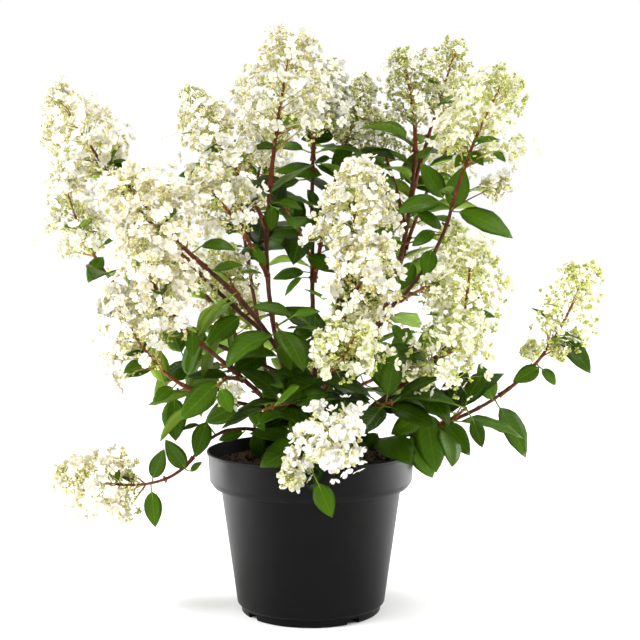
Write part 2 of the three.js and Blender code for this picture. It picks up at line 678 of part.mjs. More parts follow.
function rootBallSolid() {
  const inset = POT.wall + SOIL.clearance;
  const bandFoot = POT.height - POT.bandHeight;
  const ring = POT.footRadius - POT.footWidth;
  const floor = POT.recess + POT.wall + GAP;
  const profile = [
    [0, floor],
    [ring - 4.2, floor],
    [ring - 1, POT.heelHeight + GAP],
    [POT.heelRadius - inset - 1, POT.heelHeight + GAP],
    [POT.shoulderRadius - inset, bandFoot + 1],
    [POT.bandFootRadius - inset - 0.6, bandFoot + POT.bandChamfer + 2.5],
    [POT.rimRadius - inset - 1.4, SOIL.edgeHeight],
    [POT.rimRadius * 0.72, SOIL.edgeHeight + (SOIL.crownHeight - SOIL.edgeHeight) * 0.6],
    [TRUNK.flareRadius * 1.3, SOIL.crownHeight],
    [0, SOIL.crownHeight],
  ];
  return solidFrom(latheUpright(profile, SOIL.facets));
}

// ---------- Materials ----------
const matte = (color, roughness) => new THREE.MeshStandardMaterial({ color, roughness, metalness: 0 });
const MATERIALS = {
  pot: matte(0x3a3a3c, 0.55),
  soil: matte(0x2c1c14, 0.95),
  bark: matte(0x5a2c1c, 0.75),
  flowers: matte(0xf1eed2, 0.7),
  leaves: matte(0x3f7a1e, 0.5),
};

// ---------- Assembly ----------
const shrub = new THREE.Group();
function add(name, geometry, material) {
  const mesh = new THREE.Mesh(geometry, MATERIALS[material]);
  mesh.name = name;
  shrub.add(mesh);
}

const limbs = growStems();
const plant = { limbLines: limbLines(limbs), shoots: [], solids: [] };
growShoots(FLOWERING, limbs, plant.shoots);
growShoots(LEAFY, limbs, plant.shoots);
for (const shoot of plant.shoots) shoot.stations = stationsOf(shoot);

add('pot', geometryFrom(potSolid()), 'pot');
add('root_ball', geometryFrom(rootBallSolid()), 'soil');
add('trunk', trunkGeometry(), 'bark');
const carriers = { trunk: solidFrom(trunkGeometry(GAP)) };
for (const [name, limb] of Object.entries(limbs)) {
  const bare = solidFrom(limbGeometry(limb, STEM.sides, STEM.steps));
  add(name, geometryFrom(seat(bare, STEMS[name], carriers)), 'bark');
  carriers[name] = solidFrom(limbGeometry(limb, STEM.sides, STEM.steps, 1, GAP));
}
for (const mesh of shrub.children) settle(plant, mesh.name, solidFrom(mesh.geometry));

const hearts = plant.shoots.map((shoot) => [shootStem(shoot, carriers)]);
plant.shoots.forEach((shoot, i) => settle(plant, shoot.name, hearts[i][0]));
plant.shoots.forEach((shoot, i) => {
  if (shoot.flowerLength === 0) return;
  const core = fitCore(shoot, plant);
  hearts[i].push(core);
  settle(plant, shoot.name, core);
});
plant.shoots.forEach((shoot, i) => {
  const solid = shootSolid(shoot, hearts[i], plant);
  add(shoot.name, geometryFrom(solid), shoot.flowerLength > 0 ? 'flowers' : 'leaves');
});

export default shrub;
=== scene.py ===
"""A panicle hydrangea in flower, in its round nursery pot.

Metres, +Z up, the origin on the ground on the pot's axis. Seen from the front, +X is on the right
and +Y at the back. The pot and the soil are sized in metres; trunk, limbs, leaves and flowers are in
millimetres until Pile.piece makes a mesh of them. A short trunk forks into stems, and the stems carry
shoots: leaves in opposite pairs and, on most, a flower panicle.
"""
import math

import bpy
import numpy as np
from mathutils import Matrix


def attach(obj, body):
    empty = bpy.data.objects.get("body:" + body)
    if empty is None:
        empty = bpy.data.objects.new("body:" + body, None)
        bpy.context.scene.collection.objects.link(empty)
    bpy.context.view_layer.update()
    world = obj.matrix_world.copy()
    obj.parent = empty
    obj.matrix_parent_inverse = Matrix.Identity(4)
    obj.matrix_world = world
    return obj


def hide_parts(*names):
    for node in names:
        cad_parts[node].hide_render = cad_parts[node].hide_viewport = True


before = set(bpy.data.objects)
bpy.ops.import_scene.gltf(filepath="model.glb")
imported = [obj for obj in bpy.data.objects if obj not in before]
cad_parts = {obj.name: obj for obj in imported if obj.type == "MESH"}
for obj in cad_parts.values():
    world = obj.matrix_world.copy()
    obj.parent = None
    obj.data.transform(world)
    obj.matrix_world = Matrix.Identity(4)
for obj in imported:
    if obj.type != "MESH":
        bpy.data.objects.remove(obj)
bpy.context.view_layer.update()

# ---------- Driving dimensions ----------
MM = 0.001
UP = np.array((0.0, 0.0, 1.0))
GOLDEN_TURN = math.radians(137.508)

POT = dict(
    height=178 * MM, rim_radius=115 * MM, lip_height=14 * MM, band_height=41 * MM,
    band_foot_radius=111.5 * MM, band_chamfer=8 * MM, shoulder_radius=99.5 * MM,
    heel_radius=81.5 * MM, heel_height=10 * MM, foot_radius=77 * MM, foot_width=15 * MM,
    pad_radius=34 * MM, recess=3.5 * MM, wall=2.2 * MM, facets=160,
    notches=4, notch_width=15 * MM, notch_height=5.5 * MM, notch_bearing=36,
    drains=4, drain_radius=5 * MM, drain_facets=28, pad_facets=96, smooth_below=24,
)
SOIL = dict(
    edge_height=163 * MM, crown_height=169 * MM, base_height=150 * MM, radius=109 * MM,
    facets=96, rings=26, ring_width=4 * MM, lump=0.9 * MM, wave=1.6 * MM,
    crumbs=420, crumbs_reach=106, crumb_size=1.2, crumb_more=3.4,
)
GROUND = SOIL["crown_height"] / MM  # where the trunk leaves the soil
TRUNK = dict(
    height=34, flare_radius=24, neck_radius=15, top_radius=12.5, lean_x=3, lean_y=-2,
    sunk=6, rings=26, sides=40,
)
STEM = dict(sides=14, rough=0.05, slim=0.74)
SHOOT = dict(sides=9, rough=0.025, foot_radius=2.6, tip_radius=1.1)
SPRAY = dict(sides=6, rough=0.03, foot_radius=1.0, tip_radius=0.5)
LIMB_RING = 4  # from one ring of a limb to the next
NODES = dict(first=16, gap=30, more=12, swelling=0.24, width=2.6)  # along a limb, from its foot
FOOT = dict(flare=0.5, length=6)  # how much wider a limb is at its foot, and how soon that fades
SUNK = 1.2  # how deep a limb's foot stands in its parent, in radii of the foot
LEAF = dict(
    length=62, breadth=0.56, thickness=0.5, rise=0.42, droop=0.5, petiole=0.16,
    flowering_gap=24, leafy_gap=17,
)
# How much one leaf differs from the next: its share of the full length from the least up, and the
# whole range of its bearing, its rise, its bend and its roll.
VARY = dict(least=0.72, length=0.42, bearing=0.5, rise=0.4, bend=0.9, roll=0.9)
CLEAR = dict(leaf=11, limb=1.5, joint=16, pot=2, wall=8, ground=3, panicle=0.72)
HAND_LEAVED = ("far_right_panicle", "far_left_low_panicle")  # shoots with placed leaves only
PANICLE = dict(
    branch_spacing=2.75, strong_branches=4, strong_radii=(1.25, 0.95, 0.6), branch_radii=(0.75, 0.55, 0.4),
    tuft_radius=0.42, bud_stalk_radius=0.26, floret_stalk_radius=0.34,
    fullness=1.16, floret_radius=7.5, bud_radius=1.5, tuft=7,
)
BRACTS = dict(count=4, length=22, longer=16)

# Bare stems: what each stands on, and how far along it, or its bearing and height on the trunk; its
# tip; how far out and up its curve's middle control point lies; its radii at foot and tip.
STEMS = (
    ("left_stem", "trunk", (245, 190), (-108, -82, 379), (0.1, 0.5), (4.4, 3.2)),
    ("left_front_stem", "trunk", (232, 184), (-112, -90, 300), (0.45, 0.5), (4, 3)),
    ("low_left_stem", "left_front_stem", 0.38, (-122, -78, 252), (0.5, 0.2), (3, 2.4)),
    ("mid_left_stem", "left_stem", 0.36, (-172, -26, 330), (0.5, 0.45), (3.2, 2.5)),
    ("far_left_stem", "left_stem", 0.6, (-196, 18, 446), (0.5, 0.42), (3.3, 2.7)),
    ("top_stem", "trunk", (150, 200), (-44, -16, 466), (1.35, 0.45), (4.2, 3)),
    ("centre_stem", "trunk", (62, 200), (2, 58, 500), (1.6, 0.45), (4.2, 2.9)),
    ("front_stem", "trunk", (272, 190), (26, -92, 326), (0.35, 0.5), (3.6, 2.7)),
    ("right_stem", "trunk", (20, 194), (117, 38, 508), (0.92, 0.42), (4.6, 3)),
    ("right_side_stem", "right_stem", 0.46, (152, -22, 444), (0.75, 0.42), (3.2, 2.6)),
    ("low_right_stem", "trunk", (322, 186), (130, -68, 283), (0.5, 0.42), (3.8, 2.8)),
    ("far_right_stem", "trunk", (352, 180), (206, -10, 238), (0.62, 0.12), (3.6, 2.5)),
    ("rim_left_stem", "trunk", (212, 179), (-125, -49, 177), (0.7, -26), (3, 2.1)),
    ("back_left_stem", "trunk", (128, 187), (-118, 128, 330), (0.5, 0.4), (4, 3)),
    ("back_top_stem", "back_left_stem", 0.4, (-84, 138, 430), (0.45, 0.4), (3.2, 2.6)),
    ("back_right_stem", "trunk", (40, 186), (112, 118, 400), (0.6, 0.4), (4, 2.9)),
)

# Shoots: what each stands on and where, as for stems; its tip; its panicle's length and half width;
# its pairs of leaves; and what its panicle is made of. Those with no panicle are leafy shoots.
SHOOTS = (
    ("top_panicle", "top_stem", 1, (-20, -14, 622), (116, 64), 1, "cream"),
    ("upper_left_panicle", "top_stem", 0.84, (-124, -4, 546), (86, 52), 2, "cream"),
    ("upper_left_front_panicle", "top_stem", 0.66, (-112, -72, 470), (72, 46), 1, "cream"),
    ("top_back_panicle", "centre_stem", 1, (22, 74, 612), (88, 38), 1, "white"),
    ("upper_middle_panicle", "centre_stem", 0.56, (62, 66, 590), (72, 34), 3, "olive"),
    ("right_top_panicle", "right_stem", 1, (102, 34, 616), (80, 38), 1, "olive"),
    ("right_top_back_panicle", "right_stem", 0.86, (170, 92, 636), (84, 40), 2, "olive"),
    ("right_inner_panicle", "right_stem", 0.74, (66, 128, 560), (75, 38), 3, "olive"),
    ("right_upper_panicle", "right_side_stem", 1, (206, -34, 580), (100, 54), 2, "lemon"),
    ("centre_upper_panicle", "front_stem", 1, (50, -114, 478), (86, 52), 2, "cream"),
    ("centre_middle_panicle", "front_stem", 0.6, (62, -178, 394), (74, 48), 2, "cream"),
    ("centre_low_panicle", "front_stem", 0.3, (46, -176, 316), (68, 44), 2, "lime"),
    ("right_middle_panicle", "low_right_stem", 1, (166, -60, 404), (94, 51), 1, "lime"),
    ("right_low_panicle", "low_right_stem", 0.72, (160, -140, 312), (70, 46), 2, "lime"),
    ("far_right_panicle", "far_right_stem", 1, (303, 0, 377), (88, 42), 3, "open_lime"),
    ("front_low_panicle", "trunk", (262, 178), (24, -204, 214), (62, 40), 2, "white"),
    ("far_left_low_panicle", "rim_left_stem", 1, (-270, -42, 159), (82, 41), 2, "blush"),
    ("far_left_top_panicle", "far_left_stem", 1, (-282, 18, 573), (108, 50), 1, "cream"),
    ("far_left_middle_panicle", "mid_left_stem", 1, (-270, -8, 476), (86, 42), 3, "white"),
    ("left_front_panicle", "left_stem", 1, (-188, -110, 466), (90, 56), 1, "blush"),
    ("left_front_low_panicle", "left_front_stem", 1, (-172, -140, 404), (84, 52), 2, "blush"),
    ("left_low_panicle", "low_left_stem", 1, (-195, -114, 347), (82, 50), 2, "white"),
    ("inner_left_panicle", "left_stem", 0.8, (-98, 22, 384), (62, 36), 2, "olive"),
    ("back_left_top_panicle", "back_top_stem", 1, (-150, 168, 594), (70, 30), 4, "olive"),
    ("back_top_panicle", "back_top_stem", 0.8, (-52, 186, 566), (88, 46), 3, "white"),
    ("back_left_panicle", "back_left_stem", 1, (-206, 166, 404), (86, 48), 2, "lemon"),
    ("back_left_low_panicle", "back_left_stem", 0.74, (-100, 216, 344), (80, 44), 3, "blush"),
    ("back_upper_panicle", "back_right_stem", 0.84, (74, 204, 480), (86, 46), 3, "cream"),
    ("back_right_top_panicle", "back_right_stem", 1, (184, 158, 560), (86, 46), 3, "white"),
    ("back_right_panicle", "back_right_stem", 0.66, (196, 182, 376), (82, 46), 3, "lemon"),
    ("back_middle_panicle", "back_right_stem", 0.46, (62, 214, 350), (80, 44), 3, "blush"),
    ("back_low_panicle", "trunk", (92, 180), (4, 206, 262), (68, 42), 3, "cream"),
    ("front_left_leaves", "left_front_stem", 0.66, (-92, -138, 262), (0, 0), 4, None),
    ("front_leaves", "front_stem", 0.24, (-46, -152, 240), (0, 0), 4, None),
    ("front_right_leaves", "low_right_stem", 0.4, (82, -140, 246), (0, 0), 4, None),
    ("right_leaves", "far_right_stem", 0.6, (160, -98, 236), (0, 0), 3, None),
    ("left_leaves", "low_left_stem", 0.72, (-158, -24, 246), (0, 0), 4, None),
    ("inner_leaves", "centre_stem", 0.62, (-30, -2, 446), (0, 0), 4, None),
    ("centre_leaves", "left_stem", 0.34, (-34, -110, 322), (0, 0), 4, None),
    ("back_left_leaves", "back_left_stem", 0.5, (-152, 92, 268), (0, 0), 4, None),
    ("back_right_leaves", "back_right_stem", 0.26, (128, 92, 262), (0, 0), 4, None),
)

# Leaves with a place of their own. The limb and how far along it; where the blade starts and where
# its tip is, both from that point; how far the blade is turned from level to the front, in degrees;
# and how far it bends.
LEAVES_BY_HAND = (
    ("far_left_stem", 0.2, (-1, -2, -1), (-36, -15, -32), 60, 0.5),
    ("centre_leaves", 0.97, (17, -2, 10), (-23, -5, 18), 35, 0.7),
    ("left_stem", 0.55, (-8, -2, -6), (-44, -15, -27), 60, 0.4),
    ("centre_leaves", 0.73, (-1, -2, 0), (10, -12, -28), 75, 0.4),
    ("left_front_low_panicle", 0.18, (4, -2, 4), (5, -8, -21), 85, 0.3),
    ("back_left_leaves", 0.78, (-1, -2, -4), (-48, -12, -19), 45, 0.5),
    ("front_left_leaves", 0.78, (-1, -2, 2), (-39, -12, -35), 70, 0.35),
    ("left_low_panicle", 0.42, (-4, -2, -3), (-31, -5, -11), 35, 0.5),
    ("left_low_panicle", 0.18, (-2, -2, -4), (-23, -5, -19), 55, 0.4),
    ("left_leaves", 0.79, (-1, -2, -4), (1, -8, -50), 85, 0.25),
    ("rim_left_stem", 0.73, (-9, -2, 18), (-20, -10, -19), 85, 0.3),
    ("rim_left_stem", 0.78, (-10, -2, 16), (-29, -5, 10), 25, 0.5),
    ("low_left_stem", 0.31, (1, -2, 2), (17, -12, -24), 88, 0.3),
    ("front_left_leaves", 0.95, (2, -2, -1), (13, -10, -24), 70, 0.4),
    ("front_leaves", 0.6, (1, -2, 3), (-18, -8, -7), 50, 0.4),
    ("centre_stem", 0.18, (-2, -2, 2), (22, -12, -34), 80, 0.3),
    ("back_right_leaves", 0.08, (0, -2, 1), (5, -12, -27), 85, 0.3),
    ("right_stem", 0.31, (4, -2, -2), (28, -8, -40), 65, 0.4),
    ("low_right_stem", 0.97, (-4, -2, 4), (-57, -5, 3), 45, 0.7),
    ("far_right_stem", 0.55, (-4, -2, 16), (-38, -12, -3), 70, 0.4),
    ("back_right_leaves", 0.65, (-1, -2, 4), (31, -6, -11), 30, 0.6),
    ("far_right_stem", 0.58, (-8, -2, 19), (3, -10, -46), 85, 0.2),
    ("far_right_stem", 0.47, (-2, -2, 4), (21, 4, -48), 60, 0.3),
    ("far_right_stem", 0.31, (-2, -2, 3), (23, -72, -15), 40, 0.4),
    ("far_right_stem", 0.29, (0, -2, 10), (-18, -10, -7), 60, 0.4),
    ("rim_left_stem", 0.36, (0, -2, 1), (4, 4, -30), 75, 0.3),
    ("rim_left_stem", 0.45, (1, -2, -3), (-26, 0, -12), 50, 0.4),
    ("far_left_low_panicle", 0.13, (4, -2, -3), (-17, -6, 29), 80, 0.25),
    ("far_left_low_panicle", 0.43, (0, -2, 3), (13, -6, 35), 80, 0.3),
    ("far_left_low_panicle", 0.44, (1, -2, -5), (5, -6, -43), 85, 0.2),
    ("far_left_low_panicle", 0.13, (5, -2, -5), (18, -4, 5), 40, 0.3),
    ("centre_stem", 0.95, (13, -2, 0), (-41, -6, 3), 40, 0.5),
    ("centre_stem", 0.94, (-13, -2, -1), (-41, -6, -15), 40, 0.5),
    ("upper_middle_panicle", 0.73, (-12, -2, 7), (-50, -5, 3), 65, 0.4),
    ("upper_middle_panicle", 0.73, (8, -2, -1), (-16, -8, -27), 60, 0.4),
    ("upper_middle_panicle", 0.65, (-11, -2, 2), (-29, 4, -3), 50, 0.3),
    ("top_back_panicle", 0.02, (2, -2, -6), (30, -5, -23), 35, 0.5),
    ("centre_stem", 0.84, (7, -2, -3), (-5, -8, 17), 75, 0.3),
    ("top_stem", 0.94, (6, -2, 1), (34, -5, -7), 40, 0.6),
    ("top_stem", 0.94, (4, -2, -1), (3, -6, -28), 75, 0.3),
    ("upper_middle_panicle", 0.39, (-3, -2, 0), (-25, -6, -15), 50, 0.4),
    ("centre_stem", 0.74, (-4, -2, -1), (-66, -14, -8), 50, 0.6),
    ("upper_left_front_panicle", 0.33, (0, -2, -1), (14, -10, -19), 60, 0.4),
    ("inner_leaves", 0.23, (-4, -2, -3), (32, -8, -22), 45, 0.4),
    ("centre_stem", 0.6, (-8, -2, 1), (-44, -8, -8), 45, 0.5),
    ("centre_stem", 0.58, (-11, -2, 2), (-31, 0, -20), 25, 0.4),
    ("centre_leaves", 0.97, (14, -2, 10), (41, -6, 14), 40, 0.6),
    ("right_upper_panicle", 0.03, (-11, -2, 3), (-58, -10, -11), 45, 0.7),
    ("right_inner_panicle", 0.45, (9, -2, 3), (46, 0, -15), 45, 0.5),
    ("right_stem", 0.71, (2, -2, 0), (-24, 0, -9), 50, 0.4),
    ("right_side_stem", 0.49, (-13, -2, 8), (-25, -8, -22), 80, 0.3),
    ("right_side_stem", 0.66, (-4, -2, 1), (-12, -10, -28), 92, 0.3),
    ("right_side_stem", 0.79, (-6, -2, 3), (-31, -4, -13), 60, 0.4),
    ("right_stem", 0.81, (6, -2, 0), (36, 2, -19), 45, 0.5),
    ("back_right_panicle", 0.49, (3, -2, -6), (-26, -4, -8), 20, 0.7),
    ("right_stem", 0.45, (10, -2, -6), (21, -4, -24), 60, 0.3),
    ("right_side_stem", 0.97, (1, -2, 0), (12, -8, 44), 96, -0.15),
    ("right_side_stem", 0.97, (6, -2, 0), (63, -8, -29), 45, 0.6),
    ("right_upper_panicle", 0.03, (-9, -2, 3), (-33, 4, 41), 60, 0.3),
    ("right_upper_panicle", 0.4, (-2, -2, 9), (-13, -8, -7), 80, 0.3),
    ("right_upper_panicle", 0.4, (0, -2, 9), (14, -6, -5), 60, 0.8),
    ("right_upper_panicle", 0.4, (25, -2, 11), (38, -4, -1), 45, 0.4),
    ("far_right_panicle", 0.55, (8, -2, 4), (38, -8, -34), 50, 0.5),
    ("far_right_panicle", 0.37, (5, -2, -5), (-25, -10, -20), 75, 0.3),
    ("far_right_panicle", 0.36, (5, -2, -4), (19, -4, -22), 50, 0.9),
    ("far_right_stem", 0.95, (2, -2, -2), (-14, -6, 38), 80, 0.25),
    ("far_right_stem", 0.97, (4, -2, -7), (32, -8, -62), 28, 0.35),
    ("right_leaves", 0.97, (6, -2, -9), (15, -8, -37), 82, 0.3),
    ("right_leaves", 0.18, (-2, -2, 3), (26, -8, -33), 50, 0.45),
    ("right_leaves", 0.16, (7, -2, -21), (19, -4, -25), 30, 0.8),
    ("upper_left_panicle", 0.49, (-34, -2, 0), (-63, -6, -2), 50, 0.5),
    ("far_left_top_panicle", 0.18, (0, -2, -1), (27, -4, 23), 60, 0.3),
    ("far_left_top_panicle", 0.39, (2, -2, 8), (28, -4, 2), 15, 1.0),
    ("far_left_middle_panicle", 0.52, (9, -2, 6), (-7, -4, -22), 60, 0.7),
    ("far_left_middle_panicle", 0.58, (11, -2, 6), (25, -4, 13), 40, 0.4),
    ("left_front_panicle", 0.21, (8, -2, 8), (43, -6, 3), 35, 0.9),
    ("left_stem", 0.97, (-1, -2, 2), (30, -4, 7), 30, 0.6),
    ("top_panicle", 0.32, (4, -2, -1), (-21, -6, -4), 45, 0.4),
    ("far_left_top_panicle", 0.39, (3, -2, 8), (29, -8, 1), 40, 0.5),
    ("far_left_top_panicle", 0.19, (0, -2, -1), (28, -8, 20), 45, 0.3),
    ("low_left_stem", 0.41, (1, -2, -1), (-36, 12, -20), 60, 0.4),
    ("front_low_panicle_side_spray", 0.5, (13, -30, -22), (27, -38, -55), 85, 0.2),
    ("front_low_panicle", 0.44, (-14, -21, -10), (-57, -41, -30), 55, 0.35),
)

# Places on a shoot where no leaf grew, by their number from the foot.
BARE_NODES = {
    "far_left_middle_panicle": (2, 5),
    "left_low_panicle": (0,),
    "back_right_top_panicle": (2,),
    "left_leaves": (5, 7, 8),
    "upper_middle_panicle": (3,),
    "back_left_top_panicle": (8,),
    "back_right_panicle": (3,),
    "back_middle_panicle": (4,),
    "right_leaves": (5, 7, 8, 10),
    "inner_leaves": (0, 1, 10),
    "front_leaves": (6, 10, 14, 15),
    "centre_leaves": (6, 8, 9, 10, 12),
    "centre_middle_panicle": (0, 6),
    "front_left_leaves": (2, 3, 4, 5, 6, 7, 8, 9),
    "left_front_low_panicle": (0,),
    "front_right_leaves": (2, 10, 11, 13),
    "upper_left_front_panicle": (1,),
    "centre_upper_panicle": (2,),
    "inner_left_panicle": (1,),
    "right_low_panicle": (1,),
}

# Little sprays on stalks of their own. The limb and how far along it; the tip from that point; the
# length and half width of the flowers; and what they are.
SIDE_SPRAYS = (
    ("right_side_stem", 0.97, (58, -4, 28), (24, 13), "open_white"),
    ("far_right_panicle", 0.41, (-12, -3, 9), (12, 9), "open_lemon"),
    ("far_right_panicle", 0.38, (25, -5, 14), (13, 9), "open_lemon"),
    ("low_right_stem", 0.82, (6, -58, 6), (26, 17), "open_lemon"),
    ("front_left_leaves", 0.62, (4, -22, -18), (14, 9), "open_white"),
    ("front_low_panicle", 0.44, (-30, -64, -42), (34, 14), "open_white"),
    ("right_stem", 0.7, (62, -6, 14), (20, 12), "open_lemon"),
)

# What a panicle is made of. petal and bud: places in PETALS and BUDS. florets: how many stand on
# each side branch. cymes: how many tufts of buds do. gaps: how much of the panicle is left open.
SPRAYS = {
    "cream": dict(petal=0, bud=0, florets=3.8, cymes=5.6, size=0.95, gaps=0.1),
    "white": dict(petal=1, bud=0, florets=4.4, cymes=4.6, size=1.05, gaps=0.12),
    "blush": dict(petal=2, bud=0, florets=4.2, cymes=5.4, size=0.98, gaps=0.1),
    "lemon": dict(petal=3, bud=1, florets=4.0, cymes=4.4, size=0.92, gaps=0.12),
    "lime": dict(petal=3, bud=1, florets=3.2, cymes=5.2, size=0.92, gaps=0.15),
    "olive": dict(petal=0, bud=2, florets=2.4, cymes=6.0, size=0.74, gaps=0.12),
    "open_lime": dict(petal=3, bud=1, florets=2.2, cymes=5.6, size=0.8, gaps=0.5),
    "open_lemon": dict(petal=3, bud=1, florets=1.8, cymes=1.8, size=0.8, gaps=0.1),
    "open_white": dict(petal=1, bud=0, florets=1.5, cymes=2.2, size=0.95, gaps=0.1),
}


# ---------- Repeatable chance ----------
class Dice:
    """Numbers from 0 to 1: the same row for the same seed here and in the CAD source."""

    def __init__(self, seed):
        self.state = (seed * 7919 + 12345) % 4294967296
        for _ in range(3):
            self()

    def __call__(self):
        self.state = (self.state * 1664525 + 1013904223) % 4294967296
        return self.state / 4294967296


# ---------- Vectors in rows ----------
def unit(v):
    return v / np.maximum(np.linalg.norm(v, axis=-1, keepdims=True), 1e-12)


def dots(a, b):
    return (a * b).sum(axis=-1, keepdims=True)


def around(bearing):
    return np.array((math.cos(math.radians(bearing)), math.sin(math.radians(bearing)), 0.0))


def upright_axes(normal, twist):
    """Three axes for each row: two across its normal, turned by twist, and the normal itself."""
    normal = unit(normal)
    helper = np.where(np.abs(normal[:, 2:3]) > 0.9, (1.0, 0.0, 0.0), (0.0, 0.0, 1.0))
    first = unit(np.cross(helper, normal))
    second = np.cross(normal, first)
    c = np.cos(twist)[:, None]
    s = np.sin(twist)[:, None]
    return np.stack((first * c + second * s, second * c - first * s, normal), axis=1)


# ---------- Meshes from rows of vertices ----------
class Pile:
    """Vertices and faces that are gathered for one piece."""

    def __init__(self):
        self.verts, self.shades = [], []
        self.loops, self.sizes, self.slots, self.uvs = [], [], [], []
        self.count = 0

    def add(self, verts, faces, slot, shade, uv=None):
        """Vertices and the first faces on them. uv has a row for each vertex."""
        start = self.count
        self.verts.append(np.asarray(verts, dtype=float))
        self.shades.append(np.broadcast_to(shade, len(verts)))
        self.count += len(verts)
        self.add_faces(faces, start, slot, uv)
        return start

    def add_faces(self, faces, start, slot=0, uv=None):
        """More faces on the vertices from start on."""
        faces = np.asarray(faces)
        self.loops.append((faces + start).ravel())
        self.sizes.append(np.full(len(faces), faces.shape[1]))
        self.slots.append(np.broadcast_to(slot, len(faces)))
        self.uvs.append(np.zeros((faces.size, 2)) if uv is None else uv[faces.ravel()])

    def add_copies(self, shape, axes, places, slot, shade):
        """One small shape at many places. axes: three rows of scaled axes for each place."""
        verts, faces, uv = shape
        many = len(places)
        grown = np.einsum("vk,nkj->nvj", verts, axes) + places[:, None, :]
        steps = (np.arange(many) * len(verts))[:, None, None]
        rows = (faces[None] + steps).reshape(-1, faces.shape[1])
        shades = np.repeat(np.broadcast_to(shade, many), len(verts))
        slots = np.repeat(np.broadcast_to(slot, many), len(faces))
        self.add(grown.reshape(-1, 3), rows, slots, shades, np.tile(uv, (many, 1)))

    def piece(self, name, materials, replaced, slot_name, smooth=True):
        mesh = bpy.data.meshes.new(name)
        verts = np.concatenate(self.verts) * MM
        loops = np.concatenate(self.loops).astype(np.int32)
        sizes = np.concatenate(self.sizes).astype(np.int32)
        mesh.vertices.add(len(verts))
        mesh.vertices.foreach_set("co", verts.ravel())
        mesh.loops.add(len(loops))
        mesh.loops.foreach_set("vertex_index", loops)
        mesh.polygons.add(len(sizes))
        mesh.polygons.foreach_set("loop_start", np.cumsum(sizes) - sizes)
        mesh.polygons.foreach_set("material_index", np.concatenate(self.slots).astype(np.int32))
        mesh.polygons.foreach_set("use_smooth", np.full(len(sizes), smooth))
        mesh.update(calc_edges=True)
        shade = mesh.attributes.new("shade", "FLOAT", "POINT")
        shade.data.foreach_set("value", np.concatenate(self.shades).astype(np.float32))
        layer = mesh.uv_layers.new(name="UVMap")
        layer.data.foreach_set("uv", np.concatenate(self.uvs).astype(np.float32).ravel())
        mesh.validate()
        for material in materials:
            mesh.materials.append(material)
        thing = bpy.data.objects.new(name, mesh)
        bpy.context.collection.objects.link(thing)
        dress(thing, replaced)


def clear_selection():
    if bpy.context.object and bpy.context.object.mode != "OBJECT":
        bpy.ops.object.mode_set(mode="OBJECT")
    bpy.ops.object.select_all(action="DESELECT")


def choose(*things):
    """Select these alone, with the first one active."""
    clear_selection()
    for thing in things:
        thing.select_set(True)
    bpy.context.view_layer.objects.active = things[0]


def dress(thing, replaced):
    choose(thing)
    bpy.ops.object.transform_apply(location=True, rotation=True, scale=True)
    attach(thing, "root")
    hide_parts(*replaced)


def sweep(pile, centres, across, over, radii, sides, shade):
    """A closed tube through rings. radii: one for each ring, or one for each ring and side."""
    rings = len(centres)
    angle = np.linspace(0, 2 * math.pi, sides, endpoint=False)
    radii = np.broadcast_to(np.asarray(radii, dtype=float).reshape(rings, -1), (rings, sides))
    ring = (
        centres[:, None]
        + across[:, None] * (np.cos(angle) * radii)[..., None]
        + over[:, None] * (np.sin(angle) * radii)[..., None]
    )
    verts = np.concatenate((ring.reshape(-1, 3), centres[:1], centres[-1:]))
    i, j = np.meshgrid(np.arange(rings - 1), np.arange(sides), indexing="ij")
    k = (j + 1) % sides
    quads = np.stack((i * sides + j, i * sides + k, (i + 1) * sides + k, (i + 1) * sides + j), -1)
    uv = np.stack(np.meshgrid(np.linspace(0, 1, sides), np.linspace(0, 1, rings)), -1).reshape(-1, 2)
    uv = np.concatenate((uv, ((0.5, 0.0), (0.5, 1.0))))
    if np.ndim(shade):
        shade = np.concatenate((np.repeat(shade, sides), shade[:1], shade[-1:]))
    start = pile.add(verts, quads.reshape(-1, 4), 0, shade, uv)
    side = np.arange(sides)
    after = (side + 1) % sides
    last = (rings - 1) * sides
    foot = np.stack((np.full(sides, rings * sides), after, side), -1)
    tip = np.stack((np.full(sides, rings * sides + 1), last + side, last + after), -1)
    pile.add_faces(np.concatenate((foot, tip)), start)


def stalks(pile, starts, ends, radius, shade):
    """Many thin three-sided stalks, each drawn out to a point."""
    many = len(starts)
    axes = upright_axes(ends - starts, np.arange(many) * 1.7)
    corner = np.radians((0, 120, 240))
    across = np.cos(corner)[None, :, None] * axes[:, None, 0]
    over = np.sin(corner)[None, :, None] * axes[:, None, 1]
    verts = np.concatenate((starts[:, None] + (across + over) * radius, ends[:, None]), axis=1)
    shape = np.array(((0, 1, 3), (1, 2, 3), (2, 0, 3), (2, 1, 0)))
    rows = (shape[None] + (np.arange(many) * 4)[:, None, None]).reshape(-1, 3)
    pile.add(verts.reshape(-1, 3), rows, 0, shade)


